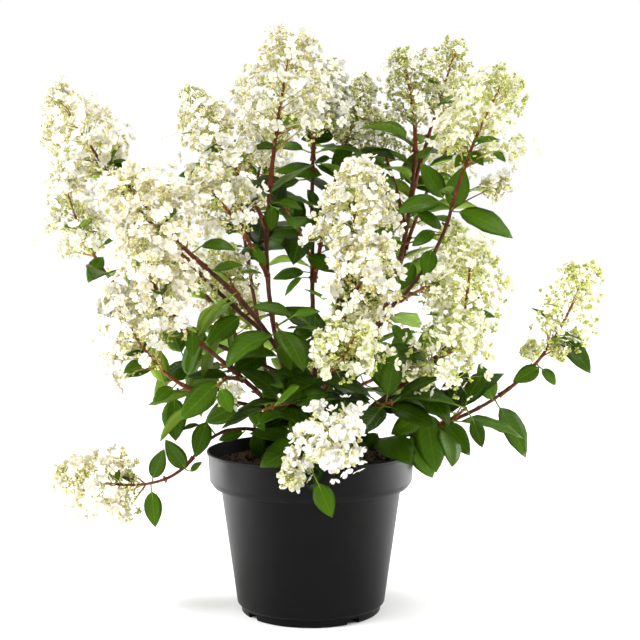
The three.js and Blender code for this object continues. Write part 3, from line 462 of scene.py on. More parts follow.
# ---------- Curves of stems and shoots ----------
class Limb:
    """A bent centre line with a steady frame: two directions across it that don't spin along it."""

    def __init__(self, foot, middle, tip, foot_radius, tip_radius):
        self.foot, self.middle, self.tip = foot, middle, tip
        self.foot_radius, self.tip_radius = foot_radius, tip_radius
        level = np.cross(unit(tip - foot), UP)
        self.level = unit(level) if np.linalg.norm(level) > 0.05 else np.array((1.0, 0.0, 0.0))
        line = self.points(np.linspace(0, 1, 25))
        self.length = np.linalg.norm(np.diff(line, axis=0), axis=1).sum()

    def points(self, t):
        t = np.atleast_1d(t)[:, None]
        return self.foot * (1 - t) ** 2 + self.middle * 2 * t * (1 - t) + self.tip * t**2

    def frames(self, t):
        t = np.atleast_1d(np.asarray(t, dtype=float))
        share = t[:, None]
        along = unit((self.middle - self.foot) * (1 - share) + (self.tip - self.middle) * share)
        across = unit(self.level - along * dots(along, self.level))
        return self.points(t), along, across, np.cross(along, across)

    def frame(self, t):
        return [rows[0] for rows in self.frames(t)]

    def radius(self, t):
        return self.foot_radius + (self.tip_radius - self.foot_radius) * t


def trunk_radius(height):
    share = np.clip((height - GROUND) / TRUNK["height"], 0, 1)
    flare = (TRUNK["flare_radius"] - TRUNK["neck_radius"]) * (1 - np.minimum(1, share / 0.35)) ** 2
    return flare + TRUNK["neck_radius"] + (TRUNK["top_radius"] - TRUNK["neck_radius"]) * share


def trunk_centre(height):
    share = (height - GROUND) / TRUNK["height"]
    return np.array((TRUNK["lean_x"] * share, TRUNK["lean_y"] * share, height))


def fork(parent, at):
    """The middle of the trunk or limb, where another limb leaves it."""
    return parent.frame(at)[0] if parent else trunk_centre(at[1])


def foot_on(parent, at, towards, radius):
    """Where a limb starts: sunk a little into the side of what it stands on, or at its very tip."""
    if not parent:
        bearing, height = at
        return trunk_centre(height) + around(bearing) * (trunk_radius(height) - SUNK * radius)
    centre, along, _, _ = parent.frame(at)
    if at >= 1:
        return centre
    outwards = towards - centre
    outwards = unit(outwards - along * (outwards @ along))
    return centre + outwards * max(0.0, parent.radius(at) - SUNK * radius)


def grow_stems():
    limbs = {}
    for name, on, at, tip, (out, up), radii in STEMS:
        tip = np.array(tip, dtype=float)
        parent = limbs.get(on)
        start = fork(parent, at)
        middle = start + (tip - start) * (out, out, up)
        limbs[name] = Limb(foot_on(parent, at, middle, radii[0]), middle, tip, *radii)
    return limbs


def grow_shoots(limbs):
    """Each shoot's line carries on from its stem, then bends to its own tip."""
    shoots = []
    for name, on, at, tip, flower, pairs, bloom in SHOOTS:
        tip = np.array(tip, dtype=float)
        parent = limbs.get(on)
        start = fork(parent, at)
        heading = unit(tip - start)
        foot_radius = SHOOT["foot_radius"]
        if parent:
            onwards = parent.frame(at)[1]
            heading = onwards if at >= 1 else unit(heading + onwards * 0.45)
            foot_radius = min(foot_radius, parent.radius(at) * 0.9)
        else:
            heading = unit(heading + UP * 0.5)
        middle = start + heading * np.linalg.norm(tip - start) * 0.42
        foot = foot_on(parent, at, middle, foot_radius)
        shoot = Limb(foot, middle, tip, foot_radius, SHOOT["tip_radius"])
        shoot.name, shoot.pairs, shoot.bloom = name, pairs, bloom
        shoot.flower_length, shoot.flower_half = flower
        shoot.flower_start = 1 - shoot.flower_length / shoot.length
        shoot.seed = len(shoots) + 1
        shoots.append(shoot)
    return shoots


def side_sprays(limbs):
    sprays = []
    for name, at, tip, flower, bloom in SIDE_SPRAYS:
        foot = limbs[name].points(at)[0]
        tip = foot + tip
        spray = Limb(foot, (foot + tip) / 2 + UP * 5, tip, SPRAY["foot_radius"], SPRAY["tip_radius"])
        spray.name, spray.bloom = f"{name}_side_spray", bloom
        spray.flower_length, spray.flower_half = flower
        spray.flower_start = max(0.1, 1 - spray.flower_length / spray.length)
        spray.seed = 60 + len(sprays)
        sprays.append(spray)
    return sprays


def panicle_profile(share):
    """How wide a panicle is at a share of its length: broad low down, narrowing to a blunt top."""
    return np.minimum(1, 0.6 + 2.8 * share) * np.sqrt(1 - 0.88 * share * share)


# ---------- Room for leaves ----------
class Room:
    """What a leaf has to stay clear of: limbs, the pot, other leaves and the inside of panicles."""

    def __init__(self, limbs, shoots, blades):
        spots, clouds = [], []
        for limb in (*limbs, *shoots):
            t = np.linspace(0, 1, max(3, int(limb.length / LIMB_RING)))
            spots.append(np.column_stack((limb.points(t), limb.radius(t))))
        share = np.linspace(0.05, 0.95, 7)
        for shoot in shoots:
            if shoot.flower_length:
                t = shoot.flower_start + (1 - shoot.flower_start) * share
                width = shoot.flower_half * panicle_profile(share)
                clouds.append(np.column_stack((shoot.points(t), width)))
        self.spots = np.concatenate(spots)
        self.clouds = np.concatenate(clouds)
        self.blades = blades

    def clear_of_pot(self, points):
        reach = np.hypot(points[:, 0], points[:, 1])
        height = points[:, 2]
        rim = POT["rim_radius"] / MM
        above = height > POT["height"] / MM + CLEAR["pot"]
        outside = (reach > rim + CLEAR["pot"]) & (height > CLEAR["ground"])
        inside = (height > GROUND + CLEAR["pot"]) & (reach < rim - CLEAR["wall"])
        return bool(np.all(above | outside | inside))

    def fits(self, points, joint):
        if not self.clear_of_pot(points):
            return False
        gap = np.linalg.norm(points[:, None] - self.spots[None, :, :3], axis=2) - self.spots[:, 3]
        near_joint = np.linalg.norm(points - joint, axis=1) < CLEAR["joint"]
        if np.any(gap[~near_joint] < CLEAR["limb"]):
            return False
        inside = np.linalg.norm(points[:, None] - self.clouds[None, :, :3], axis=2)
        if np.any(inside < self.clouds[:, 3] * CLEAR["panicle"]):
            return False
        gap = np.linalg.norm(self.blades - points[len(points) // 2], axis=1)
        return not np.any(gap < CLEAR["leaf"])


# ---------- Leaves ----------
LEAF_ROWS = np.array((0.0, 0.1, 0.22, 0.36, 0.5, 0.64, 0.77, 0.89, 1.0))
LEAF_SIDES = np.array((-1.0, -0.52, 0.0, 0.52, 1.0))
PROBES = slice(2, 35, 3)  # the vertices of a blade that have to stay clear
BLADE_MIDDLE = 17
MIDRIB_END = 12  # the vertex above the end of the raised midrib
LEAF_TRIES = ((1, 0), (1, 0.5), (1, -0.5), (0.84, 0), (0.84, 0.9), (0.7, -0.9), (0.6, 0))


def leaf_outline(u):
    """Half width along a leaf: broadest below its middle, and drawn out to a point."""
    return np.sin(np.pi * u**0.86) ** 0.82 * (1 - 0.16 * u)


def leaf_faces():
    """Four and three-sided faces of the upper side, then of the under side. Both share the leaf's edge."""
    rows = len(LEAF_ROWS) - 2
    width = len(LEAF_SIDES)
    base, tip = rows * width, rows * width + 1
    upper = lambda r, c: r * width + c
    lower = lambda r, c: upper(r, c) if c in (0, width - 1) else tip + 1 + r * (width - 2) + c - 1
    quads, tris, under_quads, under_tris = [], [], [], []
    for c in range(width - 1):
        tris.append((base, upper(0, c + 1), upper(0, c)))
        tris.append((tip, upper(rows - 1, c), upper(rows - 1, c + 1)))
        under_tris.append((base, lower(0, c), lower(0, c + 1)))
        under_tris.append((tip, lower(rows - 1, c + 1), lower(rows - 1, c)))
        for r in range(rows - 1):
            quads.append((upper(r, c), upper(r, c + 1), upper(r + 1, c + 1), upper(r + 1, c)))
            under_quads.append((lower(r, c), lower(r + 1, c), lower(r + 1, c + 1), lower(r, c + 1)))
    return [np.array(rows_of) for rows_of in (quads, tris, under_quads, under_tris)]


LEAF_FACES = leaf_faces()


def blade_rows(grid, under):
    """Rows for the upper vertices, the base, the tip, and the under side inside the edge."""
    size = grid.shape[-1]
    return np.concatenate((grid[1:-1].reshape(-1, size), grid[:1, 2], grid[-1:, 2], under.reshape(-1, size)))


def leaf_vertices(leaf):
    """The blade, bent along its length, folded along its midrib and waved at its edge."""
    u = LEAF_ROWS
    s = LEAF_SIDES
    length = leaf["length"]
    bend = -leaf["bend"] * np.linspace(0, 1, len(u)) ** 1.3
    step = np.diff(u) * length
    middle = (bend[1:] + bend[:-1]) / 2
    run = np.concatenate(((0.0,), np.cumsum(np.cos(middle) * step)))
    lift = np.concatenate(((0.0,), np.cumsum(np.sin(middle) * step)))
    half = (leaf_outline(u) * length * LEAF["breadth"] * leaf["slim"] / 2)[:, None]
    fold = (leaf["fold"] * (1 - 0.5 * u))[:, None]
    wave = leaf["wave"] * np.sin(u * 15 + leaf["phase"])[:, None] * np.sign(s) * s * s
    out = half * s * np.cos(fold)
    raised = half * (np.abs(s) * np.sin(fold) + wave)
    x = run[:, None] - raised * np.sin(bend)[:, None]
    z = lift[:, None] + raised * np.cos(bend)[:, None]
    normal = np.cross(leaf["heading"], leaf["sideways"])
    grid = (
        leaf["root"]
        + x[..., None] * leaf["heading"]
        + z[..., None] * normal
        - out[..., None] * leaf["sideways"]
    )
    plan = np.stack(np.meshgrid(0.5 + 0.5 * s, u), -1)
    verts = blade_rows(grid, grid[1:-1, 1:-1] - normal * LEAF["thickness"])
    return verts, blade_rows(plan, plan[1:-1, 1:-1])


def add_leaf(blades, twigs, leaf):
    """A blade, and a stalk that runs on under it as the raised midrib."""
    verts, uv = leaf_vertices(leaf)
    quads, tris, under_quads, under_tris = LEAF_FACES
    start = blades.add(verts, quads, 0, leaf["shade"], uv)
    for faces, slot in ((tris, 0), (under_quads, 1), (under_tris, 1)):
        blades.add_faces(faces, start, slot, uv)
    normal = np.cross(leaf["heading"], leaf["sideways"])
    joint, root = leaf["joint"], leaf["root"]
    line = np.stack((joint, (joint + root) / 2 - UP * 0.6, root, verts[MIDRIB_END] - normal * 0.5))
    along = unit(np.gradient(line, axis=0))
    side = unit(np.cross(along, normal))
    sweep(twigs, line, side, np.cross(along, side), (1.0, 0.8, 0.8, 0.3), 5, leaf["shade"])


def leaf_plans(shoot):
    """Where each leaf of a shoot stands: opposite pairs, each a quarter turn from the last."""
    roll = Dice(shoot.seed)
    flowers = shoot.flower_length > 0
    gap = LEAF["flowering_gap"] if flowers else LEAF["leafy_gap"]
    turn = roll() * math.pi
    pairs = max(shoot.pairs + 1, round(shoot.flower_start * shoot.length / gap))
    plans = []
    for pair in range(pairs):
        t = shoot.flower_start * (pair + 0.75) / (pairs + (0.15 if flowers else -0.2))
        bearing = turn + pair * math.pi / 2 + (roll() - 0.5) * VARY["bearing"]
        for side in (0, math.pi):
            plans.append(dict(
                t=min(t, 0.97), bearing=bearing + side,
                length=LEAF["length"] * (VARY["least"] + VARY["length"] * roll()),
                rise=LEAF["rise"] + (roll() - 0.5) * VARY["rise"],
                bend=LEAF["droop"] + (roll() - 0.35) * VARY["bend"],
                roll=(roll() - 0.5) * VARY["roll"],
            ))
    return plans


def leaf_traits(chance, fold, wave, slim, shade):
    """A leaf's own fold, waves, breadth and shade, each from its least value and its range."""
    draw = lambda least, range_of: least + range_of * chance.rand()
    return dict(
        fold=draw(*fold), wave=draw(*wave), phase=draw(0, 6), slim=draw(*slim), shade=draw(*shade))


def place_leaf(limb, plan, turn, share, chance):
    centre, along, across, over = limb.frame(plan["t"])
    bearing = plan["bearing"] + turn
    heading = unit(across * math.cos(bearing) + over * math.sin(bearing) + along * plan["rise"])
    heading = unit(heading * (1, 1, 0.62) + UP * 0.1)
    sideways = unit(np.cross(along * 0.5 + UP * 0.8, heading))
    normal = np.cross(heading, sideways)
    sideways = sideways * math.cos(plan["roll"]) + normal * math.sin(plan["roll"])
    length = plan["length"] * share
    radius = limb.radius(plan["t"])
    return dict(
        joint=centre + heading * radius * 0.4, root=centre + heading * (radius + length * LEAF["petiole"]),
        heading=heading, sideways=sideways, length=length, bend=plan["bend"],
        **leaf_traits(chance, (0.12, 0.3), (0.02, 0.07), (0.88, 0.22), (0, 1)),
    )


def leaf_by_hand(limb, t, root, tip, lie, bend, chance):
    """A leaf from a limb to a given tip. lie: 0 for a level blade, 90 for one that faces the front."""
    centre = limb.frame(t)[0]
    chord = np.array(tip, dtype=float) - root
    towards = unit(chord)
    face = np.array((0.0, -math.sin(math.radians(lie)), math.cos(math.radians(lie))))
    normal = unit(face - towards * (face @ towards))
    heading = unit(towards + normal * math.tan(0.45 * bend))
    return dict(
        joint=centre, root=centre + root + towards * 3,
        heading=heading, sideways=unit(np.cross(normal, heading)),
        length=np.linalg.norm(chord) * (1 + 0.06 * bend * bend), bend=bend,
        **leaf_traits(chance, (0.1, 0.22), (0.02, 0.05), (0.95, 0.25), (0.35, 0.6)),
    )


def grow_leaves(shoot, room, chance):
    """A shoot's leaves: one that finds no room is turned aside or grows smaller, or isn't there."""
    leaves = []
    for number, plan in enumerate(leaf_plans(shoot)):
        if number in BARE_NODES.get(shoot.name, ()):
            continue
        for share, turn in LEAF_TRIES:
            leaf = place_leaf(shoot, plan, turn, share, chance)
            if room.fits(leaf_vertices(leaf)[0][PROBES], leaf["joint"]):
                leaves.append(leaf)
                break
    return leaves


# ---------- Panicles ----------
def sepal_cross():
    """A floret of four cupped sepals round a small eye, facing up."""
    rows = ((0.05, 0.06, 0.1), (0.3, 0.26, 0.0), (0.62, 0.5, 0.02), (0.88, 0.42, 0.14), (1.0, 0.13, 0.22))
    reach, half, lift = np.repeat(rows, 3, axis=0).T
    s = np.tile((-1, 0, 1), len(rows))
    x, y, z = reach + 0.04 * (s == 0), half * s, lift + 0.09 * np.abs(s)
    uv = np.column_stack((0.5 + 0.5 * s, reach))
    quads = np.array([
        (r * 3 + c, (r + 1) * 3 + c, (r + 1) * 3 + c + 1, r * 3 + c + 1) for r in range(4) for c in range(2)
    ])
    verts, faces = [], []
    for k in range(4):
        cos, sin = math.cos(k * math.pi / 2), math.sin(k * math.pi / 2)
        size = 0.88 if k % 2 else 1.0
        verts.append(np.column_stack((x * cos - y * sin, x * sin + y * cos, z + 0.05 * (k % 2))) * size)
        faces.append(quads + k * len(x))
    return np.concatenate(verts), np.concatenate(faces), np.tile(uv, (4, 1))


def bud_shape():
    """A small closed bud, four faces round and two high."""
    verts = np.array(((1, 0, 0), (0, 1, 0), (-1, 0, 0), (0, -1, 0), (0, 0, 1.1), (0, 0, -1.2)), dtype=float)
    faces = np.array([(i, (i + 1) % 4, 4) for i in range(4)] + [((i + 1) % 4, i, 5) for i in range(4)])
    return verts, faces, np.zeros((len(verts), 2))


FLORET = sepal_cross()
BUD = bud_shape()


def cone_of(heading, spread, chance, count):
    """Directions round a heading, within a spread of it."""
    first, second, heading = upright_axes(heading[None], np.zeros(1))[0]
    turn = (chance.rand(count) * 2 * math.pi)[:, None]
    lean = (np.sqrt(chance.rand(count)) * spread)[:, None]
    side = first * np.cos(turn) + second * np.sin(turn)
    return unit(heading * np.cos(lean) + side * np.sin(lean))


def grow_panicle(shoot, piles):
    """Two opposite pairs of strong side branches at the foot, then ever shorter ones to the top."""
    spray = SPRAYS[shoot.bloom]
    stalk_pile = piles["stalk"]
    chance = np.random.RandomState(shoot.seed + 500)
    count = int(shoot.flower_length / PANICLE["branch_spacing"]) + 6
    florets, floret_aims, buds, bud_aims, inner = [], [], [], [], []
    for i in range(count):
        strong = i < PANICLE["strong_branches"]
        share = 0.05 * (i > 1) if strong else ((i + 0.3) / count) ** 1.15
        t = shoot.flower_start + (1 - shoot.flower_start) * share * 0.92
        root, along, across, over = shoot.frame(t)
        bearing = i * GOLDEN_TURN + (chance.rand() - 0.5) * 0.5
        if strong:
            bearing = shoot.seed + i * math.pi + (i > 1) * math.pi / 2
        lump = 0.5 + 0.5 * math.sin(2 * bearing + 11 * share + shoot.seed)
        if lump < spray["gaps"] and not strong:
            continue
        lean = 0.9 if strong else 0.25 + 1.1 * share
        heading = across * math.cos(bearing) + over * math.sin(bearing) + along * lean
        heading = unit(heading + UP * 0.12)
        reach = shoot.flower_half * panicle_profile(share + 0.14 * strong) * (0.76 + 0.24 * chance.rand())
        reach *= 0.88 + 0.24 * lump
        knot = root + heading * reach * 0.66 - UP * reach * 0.04
        line = np.stack((root, root + heading * reach * 0.34 - UP * 0.6, knot))
        side = unit(np.cross(heading, along + UP * 0.1))
        frames = np.tile(side, (3, 1))
        thick = PANICLE["strong_radii" if strong else "branch_radii"]
        tone = np.array((0.0, 0.12, 0.5) if share < 0.3 else (0.25, 0.6, 0.9))
        tone = tone + 0.4 * (shoot.flower_half < 20)
        sweep(stalk_pile, line, frames, np.cross(heading, frames), thick, 4, tone)
        # tufts of buds that make up the dome at the branch's end
        tufts = max(3, int(spray["cymes"] * (0.75 + 0.5 * chance.rand())))
        dome = 5.5 + reach * 0.25
        aim = cone_of(heading, 1.7, chance, tufts)
        heart = knot + aim * (dome * (0.55 + 0.5 * chance.rand(tufts)))[:, None] + heading * reach * 0.1
        knots = np.tile(knot, (tufts, 1))
        stalks(stalk_pile, knots, heart, PANICLE["tuft_radius"], 0.7 + 0.2 * chance.rand())
        each = PANICLE["tuft"]
        tuft_aim = unit(np.repeat(aim, each, 0) + chance.normal(0, 0.62, (tufts * each, 3)))
        tips = np.repeat(heart, each, 0) + tuft_aim * (2.2 + 1.8 * chance.rand(tufts * each))[:, None]
        buds.append(tips)
        bud_aims.append(tuft_aim)
        hearts = np.repeat(heart, each, 0)[::2]
        stalks(stalk_pile, hearts, tips[::2], PANICLE["bud_stalk_radius"], 0.95)
        # buds back along the branch, in the shade
        few = chance.randint(6, 12)
        back = root + heading * reach * (0.25 + 0.4 * chance.rand(few))[:, None]
        inner.append(back + chance.normal(0, 3.2, (few, 3)))
        # sterile florets among the buds and beyond them
        many = int(spray["florets"] * PANICLE["fullness"] + chance.rand())
        aim = cone_of(heading, 0.7 + 7 / max(reach, 12), chance, many)
        far = reach * (0.74 + 0.36 * chance.rand(many))
        if chance.rand() < 0.4:
            far[-1] = reach * (1.08 + 0.14 * chance.rand()) + 3
        tips = knot + aim * (far - reach * 0.6)[:, None] + heading * 2.5
        floret_aim = unit(aim + heading * 0.3 + chance.normal(0, 0.46, (many, 3)) + UP * 0.1)
        florets.append(tips)
        floret_aims.append(floret_aim)
        knots = np.tile(knot, (many, 1))
        stalks(stalk_pile, knots, tips - floret_aim * 0.4, PANICLE["floret_stalk_radius"], 0.9)
    place_florets(piles["floret"], np.concatenate(florets), np.concatenate(floret_aims), spray, chance)
    place_buds(piles["bud"], np.concatenate(buds), np.concatenate(bud_aims), spray["bud"], chance, 1.0)
    inside = np.concatenate(inner)
    place_buds(piles["bud"], inside, chance.normal(0, 1, inside.shape), max(spray["bud"], 1), chance, 0.95)


def place_florets(pile, places, aims, spray, chance):
    many = len(places)
    size = PANICLE["floret_radius"] * spray["size"] * (0.62 + 0.52 * chance.rand(many))
    axes = upright_axes(aims, chance.rand(many) * 6.3) * size[:, None, None]
    axes[:, 2] *= (0.4 + 2.2 * chance.rand(many))[:, None]
    axes[:, 1] *= (0.84 + 0.3 * chance.rand(many))[:, None]
    pile.add_copies(FLORET, axes, places, spray["petal"], chance.rand(many))
    eye = upright_axes(aims, np.zeros(many)) * (size * 0.13)[:, None, None]
    pile.add_copies(BUD, eye, places + unit(aims) * (size * 0.1)[:, None], EYE_SLOT, chance.rand(many))


def place_buds(pile, places, aims, tone, chance, grown):
    """tone: a place in BUDS."""
    many = len(places)
    size = PANICLE["bud_radius"] * grown * (0.7 + 0.6 * chance.rand(many))
    axes = upright_axes(aims, chance.rand(many) * 6.3) * size[:, None, None]
    pile.add_copies(BUD, axes, places, tone, chance.rand(many))


# ---------- Materials ----------
def new_material(name, roughness, specular):
    material = bpy.data.materials.new(name)
    material.use_nodes = True
    shader = material.node_tree.nodes["Principled BSDF"]
    shader.inputs["Roughness"].default_value = roughness
    shader.inputs["Specular IOR Level"].default_value = specular
    return material, material.node_tree, shader


def paint(tree, shader, colour):
    tree.links.new(colour, shader.inputs["Base Color"])


def linear(colour):
    """A colour from 0 to 255 as the eye sees it, as linear light."""
    light = [c / 255 / 12.92 if c <= 10 else ((c / 255 + 0.055) / 1.055) ** 2.4 for c in colour]
    return (*light, 1.0)


def ramp(tree, source, *stops):
    """A colour for each value of source. stops: a value and a colour from 0 to 255 each."""
    node = tree.nodes.new("ShaderNodeValToRGB")
    while len(node.color_ramp.elements) < len(stops):
        node.color_ramp.elements.new(0.5)
    for element, (place, colour) in zip(node.color_ramp.elements, stops):
        element.position = place
        element.color = linear(colour)
    tree.links.new(source, node.inputs["Fac"])
    return node.outputs["Color"]


def maths(tree, kind, first, second):
    node = tree.nodes.new("ShaderNodeMath")
    node.operation = kind
    for socket, value in zip(node.inputs, (first, second)):
        if isinstance(value, (int, float)):
            socket.default_value = value
        else:
            tree.links.new(value, socket)
    return node.outputs["Value"]


def blended(tree, kind, amount, first, second):
    node = tree.nodes.new("ShaderNodeMix")
    node.data_type = "RGBA"
    node.blend_type = kind
    sockets = (node.inputs[0], node.inputs[6], node.inputs[7])
    for socket, value in zip(sockets, (amount, first, second)):
        if isinstance(value, (int, float, tuple)):
            socket.default_value = value
        else:
            tree.links.new(value, socket)
    return node.outputs[2]


def noise(tree, scale, detail=3.0, stretch=None):
    """Noise from 0 to 1 through the part. scale: its waves in a metre."""
    place = tree.nodes.new("ShaderNodeTexCoord").outputs["Object"]
    if stretch:
        mapping = tree.nodes.new("ShaderNodeMapping")
        mapping.inputs["Scale"].default_value = stretch
        tree.links.new(place, mapping.inputs["Vector"])
        place = mapping.outputs["Vector"]
    node = tree.nodes.new("ShaderNodeTexNoise")
    node.inputs["Scale"].default_value = scale
    node.inputs["Detail"].default_value = detail
    tree.links.new(place, node.inputs["Vector"])
    return node.outputs["Fac"]


def bump(tree, shader, height, strength, distance):
    node = tree.nodes.new("ShaderNodeBump")
    node.inputs["Strength"].default_value = strength
    node.inputs["Distance"].default_value = distance
    tree.links.new(height, node.inputs["Height"])
    tree.links.new(node.outputs["Normal"], shader.inputs["Normal"])


def shade_of(tree):
    """A vertex's own shade from 0 to 1, which Pile keeps."""
    node = tree.nodes.new("ShaderNodeAttribute")
    node.attribute_name = "shade"
    return node.outputs["Fac"]


def uv_parts(tree):
    """How far across a leaf or petal, and how far along it."""
    node = tree.nodes.new("ShaderNodeUVMap")
    node.uv_map = "UVMap"
    split = tree.nodes.new("ShaderNodeSeparateXYZ")
    tree.links.new(node.outputs["UV"], split.inputs["Vector"])
    return split.outputs["X"], split.outputs["Y"]


def weighted(tree, *parts):
    """Sources added up, each one times its weight."""
    scaled = [maths(tree, "MULTIPLY", source, weight) for source, weight in parts]
    total = scaled[0]
    for part in scaled[1:]:
        total = maths(tree, "ADD", total, part)
    return total


def leaf_veins(tree):
    """1 on the midrib and the side veins that curve forward from it, 0 between them."""
    across, along = uv_parts(tree)
    off = maths(tree, "ABSOLUTE", maths(tree, "SUBTRACT", across, 0.5), 0)
    midrib = maths(tree, "LESS_THAN", off, 0.022)
    slant = maths(tree, "SUBTRACT", along, maths(tree, "MULTIPLY", off, 0.42))
    stripe = maths(tree, "PINGPONG", maths(tree, "MULTIPLY", slant, 9.0), 0.5)
    veins = maths(tree, "MULTIPLY", maths(tree, "LESS_THAN", stripe, 0.05), 0.75)
    return maths(tree, "MAXIMUM", midrib, veins)


def leaf_material(name, dark, light, vein, roughness, specular):
    material, tree, shader = new_material(name, roughness, specular)
    tone = weighted(tree, (shade_of(tree), 0.75), (noise(tree, 60), 0.35))
    colour = ramp(tree, tone, (0.1, dark), (0.95, light))
    veins = leaf_veins(tree)
    colour = blended(tree, "MIX", maths(tree, "MULTIPLY", veins, 0.3), colour, linear(vein))
    paint(tree, shader, colour)
    bump(tree, shader, veins, 0.35, 0.0004)
    return material


def petal_material(name, throat, blade, edge):
    material, tree, shader = new_material(name, 0.62, 0.3)
    across, along = uv_parts(tree)
    colour = ramp(tree, along, (0.02, throat), (0.26, blade), (1.0, edge))
    pale = maths(tree, "ADD", 0.9, maths(tree, "MULTIPLY", shade_of(tree), 0.09))
    grey = tree.nodes.new("ShaderNodeCombineColor")
    for socket in grey.inputs:
        tree.links.new(pale, socket)
    colour = blended(tree, "MULTIPLY", 1.0, colour, grey.outputs["Color"])
    paint(tree, shader, colour)
    fine = maths(tree, "PINGPONG", maths(tree, "MULTIPLY", across, 8.0), 0.5)
    bump(tree, shader, fine, 0.2, 0.0003)
    return material


def bud_material(name, dark, light):
    material, tree, shader = new_material(name, 0.6, 0.35)
    tone = weighted(tree, (shade_of(tree), 0.8), (noise(tree, 120), 0.3))
    paint(tree, shader, ramp(tree, tone, (0.15, dark), (0.85, light)))
    return material


def wood_material(name, grain, depth, roughness, *stops):
    """Bark with upright fibres, darker at the foot of a limb, where shade is low."""
    material, tree, shader = new_material(name, roughness, 0.18)
    fibre = noise(tree, grain, 5.0, (1.0, 1.0, 0.22))
    spots = noise(tree, grain * 2.4, 2.0)
    tone = weighted(tree, (fibre, 0.55), (spots, 0.2), (shade_of(tree), 0.45))
    paint(tree, shader, ramp(tree, tone, *stops))
    bump(tree, shader, fibre, 0.6, depth)
    return material


def pot_material():
    """Charcoal nursery plastic: satin, with a faint grain and patches that are a little duller."""
    material, tree, shader = new_material("pot_charcoal_plastic", 0.4, 0.1)
    grain = noise(tree, 900, 2.0)
    patches = noise(tree, 26, 5.0)
    colour = ramp(tree, patches, (0.3, (5, 5, 6)), (0.75, (10, 10, 10)))
    paint(tree, shader, colour)
    sheen = tree.nodes.new("ShaderNodeMapRange")
    sheen.inputs["To Min"].default_value = 0.36
    sheen.inputs["To Max"].default_value = 0.46
    tree.links.new(patches, sheen.inputs["Value"])
    tree.links.new(sheen.outputs["Result"], shader.inputs["Roughness"])
    bump(tree, shader, grain, 0.12, 0.0002)
    return material


def soil_material():
    material, tree, shader = new_material("potting_soil", 0.95, 0.2)
    crumbs = noise(tree, 240, 6.0)
    colour = ramp(tree, crumbs, (0.32, (20, 14, 10)), (0.52, (58, 43, 32)), (0.72, (96, 76, 58)))
    paint(tree, shader, colour)
    bump(tree, shader, crumbs, 0.9, 0.0015)
    return material


PETALS = (
    petal_material("petal_cream", (226, 221, 160), (252, 249, 230), (255, 253, 245)),
    petal_material("petal_white", (232, 230, 178), (253, 252, 240), (255, 254, 249)),
    petal_material("petal_blush", (230, 220, 160), (253, 246, 224), (255, 251, 239)),
    petal_material("petal_lemon", (210, 214, 136), (251, 249, 216), (254, 252, 236)),
    bud_material("floret_eye", (196, 190, 96), (238, 230, 170)),
)
EYE_SLOT = 4  # the eye's place in PETALS
BUDS = (
    bud_material("bud_cream", (188, 180, 98), (246, 240, 196)),
    bud_material("bud_lime", (150, 164, 60), (228, 228, 142)),
    bud_material("bud_olive", (142, 148, 72), (226, 226, 158)),
)
LEAF_TOP = leaf_material("leaf_top", (8, 24, 0), (70, 106, 7), (108, 142, 30), 0.34, 0.12)
LEAF_UNDER = leaf_material("leaf_under", (62, 92, 18), (120, 150, 44), (140, 168, 70), 0.6, 0.12)
OLD_BARK = wood_material(
    "old_bark", 130, 0.0012, 0.75, (0.25, (30, 17, 11)), (0.55, (76, 42, 26)), (0.9, (122, 84, 58)))
YOUNG_BARK = wood_material(
    "young_red_bark", 220, 0.0004, 0.5, (0.2, (48, 20, 10)), (0.55, (112, 52, 26)), (0.9, (164, 108, 66)))
STALK = wood_material(
    "flower_stalk", 200, 0.0001, 0.6, (0.3, (122, 54, 26)), (0.55, (186, 174, 90)), (0.85, (226, 222, 150)))


# ---------- Pot ----------
def pot_profile():
    """Radius and height up the outside, over the lip and down the inside, with every edge rounded."""
    p = POT
    height, wall, recess, heel = p["height"], p["wall"], p["recess"], p["heel_height"]
    foot, rim = p["foot_radius"], p["rim_radius"]
    inner_foot = foot - p["foot_width"]
    heel_radius, shoulder, band_foot = p["heel_radius"], p["shoulder_radius"], p["band_foot_radius"]
    chamfer = shoulder + p["band_chamfer"]
    band = height - p["band_height"]
    band_top = band + p["band_chamfer"]
    lip = height - p["lip_height"]
    rows = (  # a radius and how far out from it, a height and how far up from it; both steps in mm
        (inner_foot, 0, recess, 0), (inner_foot, 0, 0, 0.6), (inner_foot, 0.6, 0, 0),
        (foot, -0.8, 0, 0), (foot, 0, 0, 0.8), (foot, 0.9, heel, -2.2),
        (heel_radius, -0.6, heel, -0.6), (heel_radius, 0.2, heel, 0.4),
        (shoulder, -0.3, band, -2), (shoulder, 0.5, band, -0.4),
        (chamfer, -0.6, band, 1.4), (chamfer, 0.5, band, 2.6),
        (band_foot, -0.3, band_top, -0.6), (band_foot, 0.2, band_top, 0.8),
        (rim, -1.5, height, -5), (rim, -1.2, height, -4.2), (rim, -0.2, height, -3.4),
        (rim, 0, height, -2.6), (rim, 0, height, -1.4), (rim, -0.5, height, -0.4), (rim, -1.4, height, 0),
        (rim - wall, 0, height, -0.6), (rim - wall, 0, lip, 0), (band_foot - wall, 0, band_top, 1),
        (shoulder - wall, 0, band, 1), (heel_radius - wall, 0, heel, 0),
        (inner_foot, 0, heel, 0), (inner_foot, -3, recess + wall, 0),
    )
    return [(radius + out * MM, level + up * MM) for radius, out, level, up in rows]


def shaft(x, y, low, high, radius, sides):
    clear_selection()
    bpy.ops.mesh.primitive_cylinder_add(
        vertices=sides, radius=radius, depth=high - low, location=(x, y, (low + high) / 2))
    return bpy.context.object


def cut_away(body, tool):
    choose(body)
    cut = body.modifiers.new("cut", "BOOLEAN")
    cut.operation = "DIFFERENCE"
    cut.solver = "EXACT"
    cut.object = tool
    bpy.ops.object.modifier_apply(modifier=cut.name)
    bpy.data.objects.remove(tool, do_unlink=True)


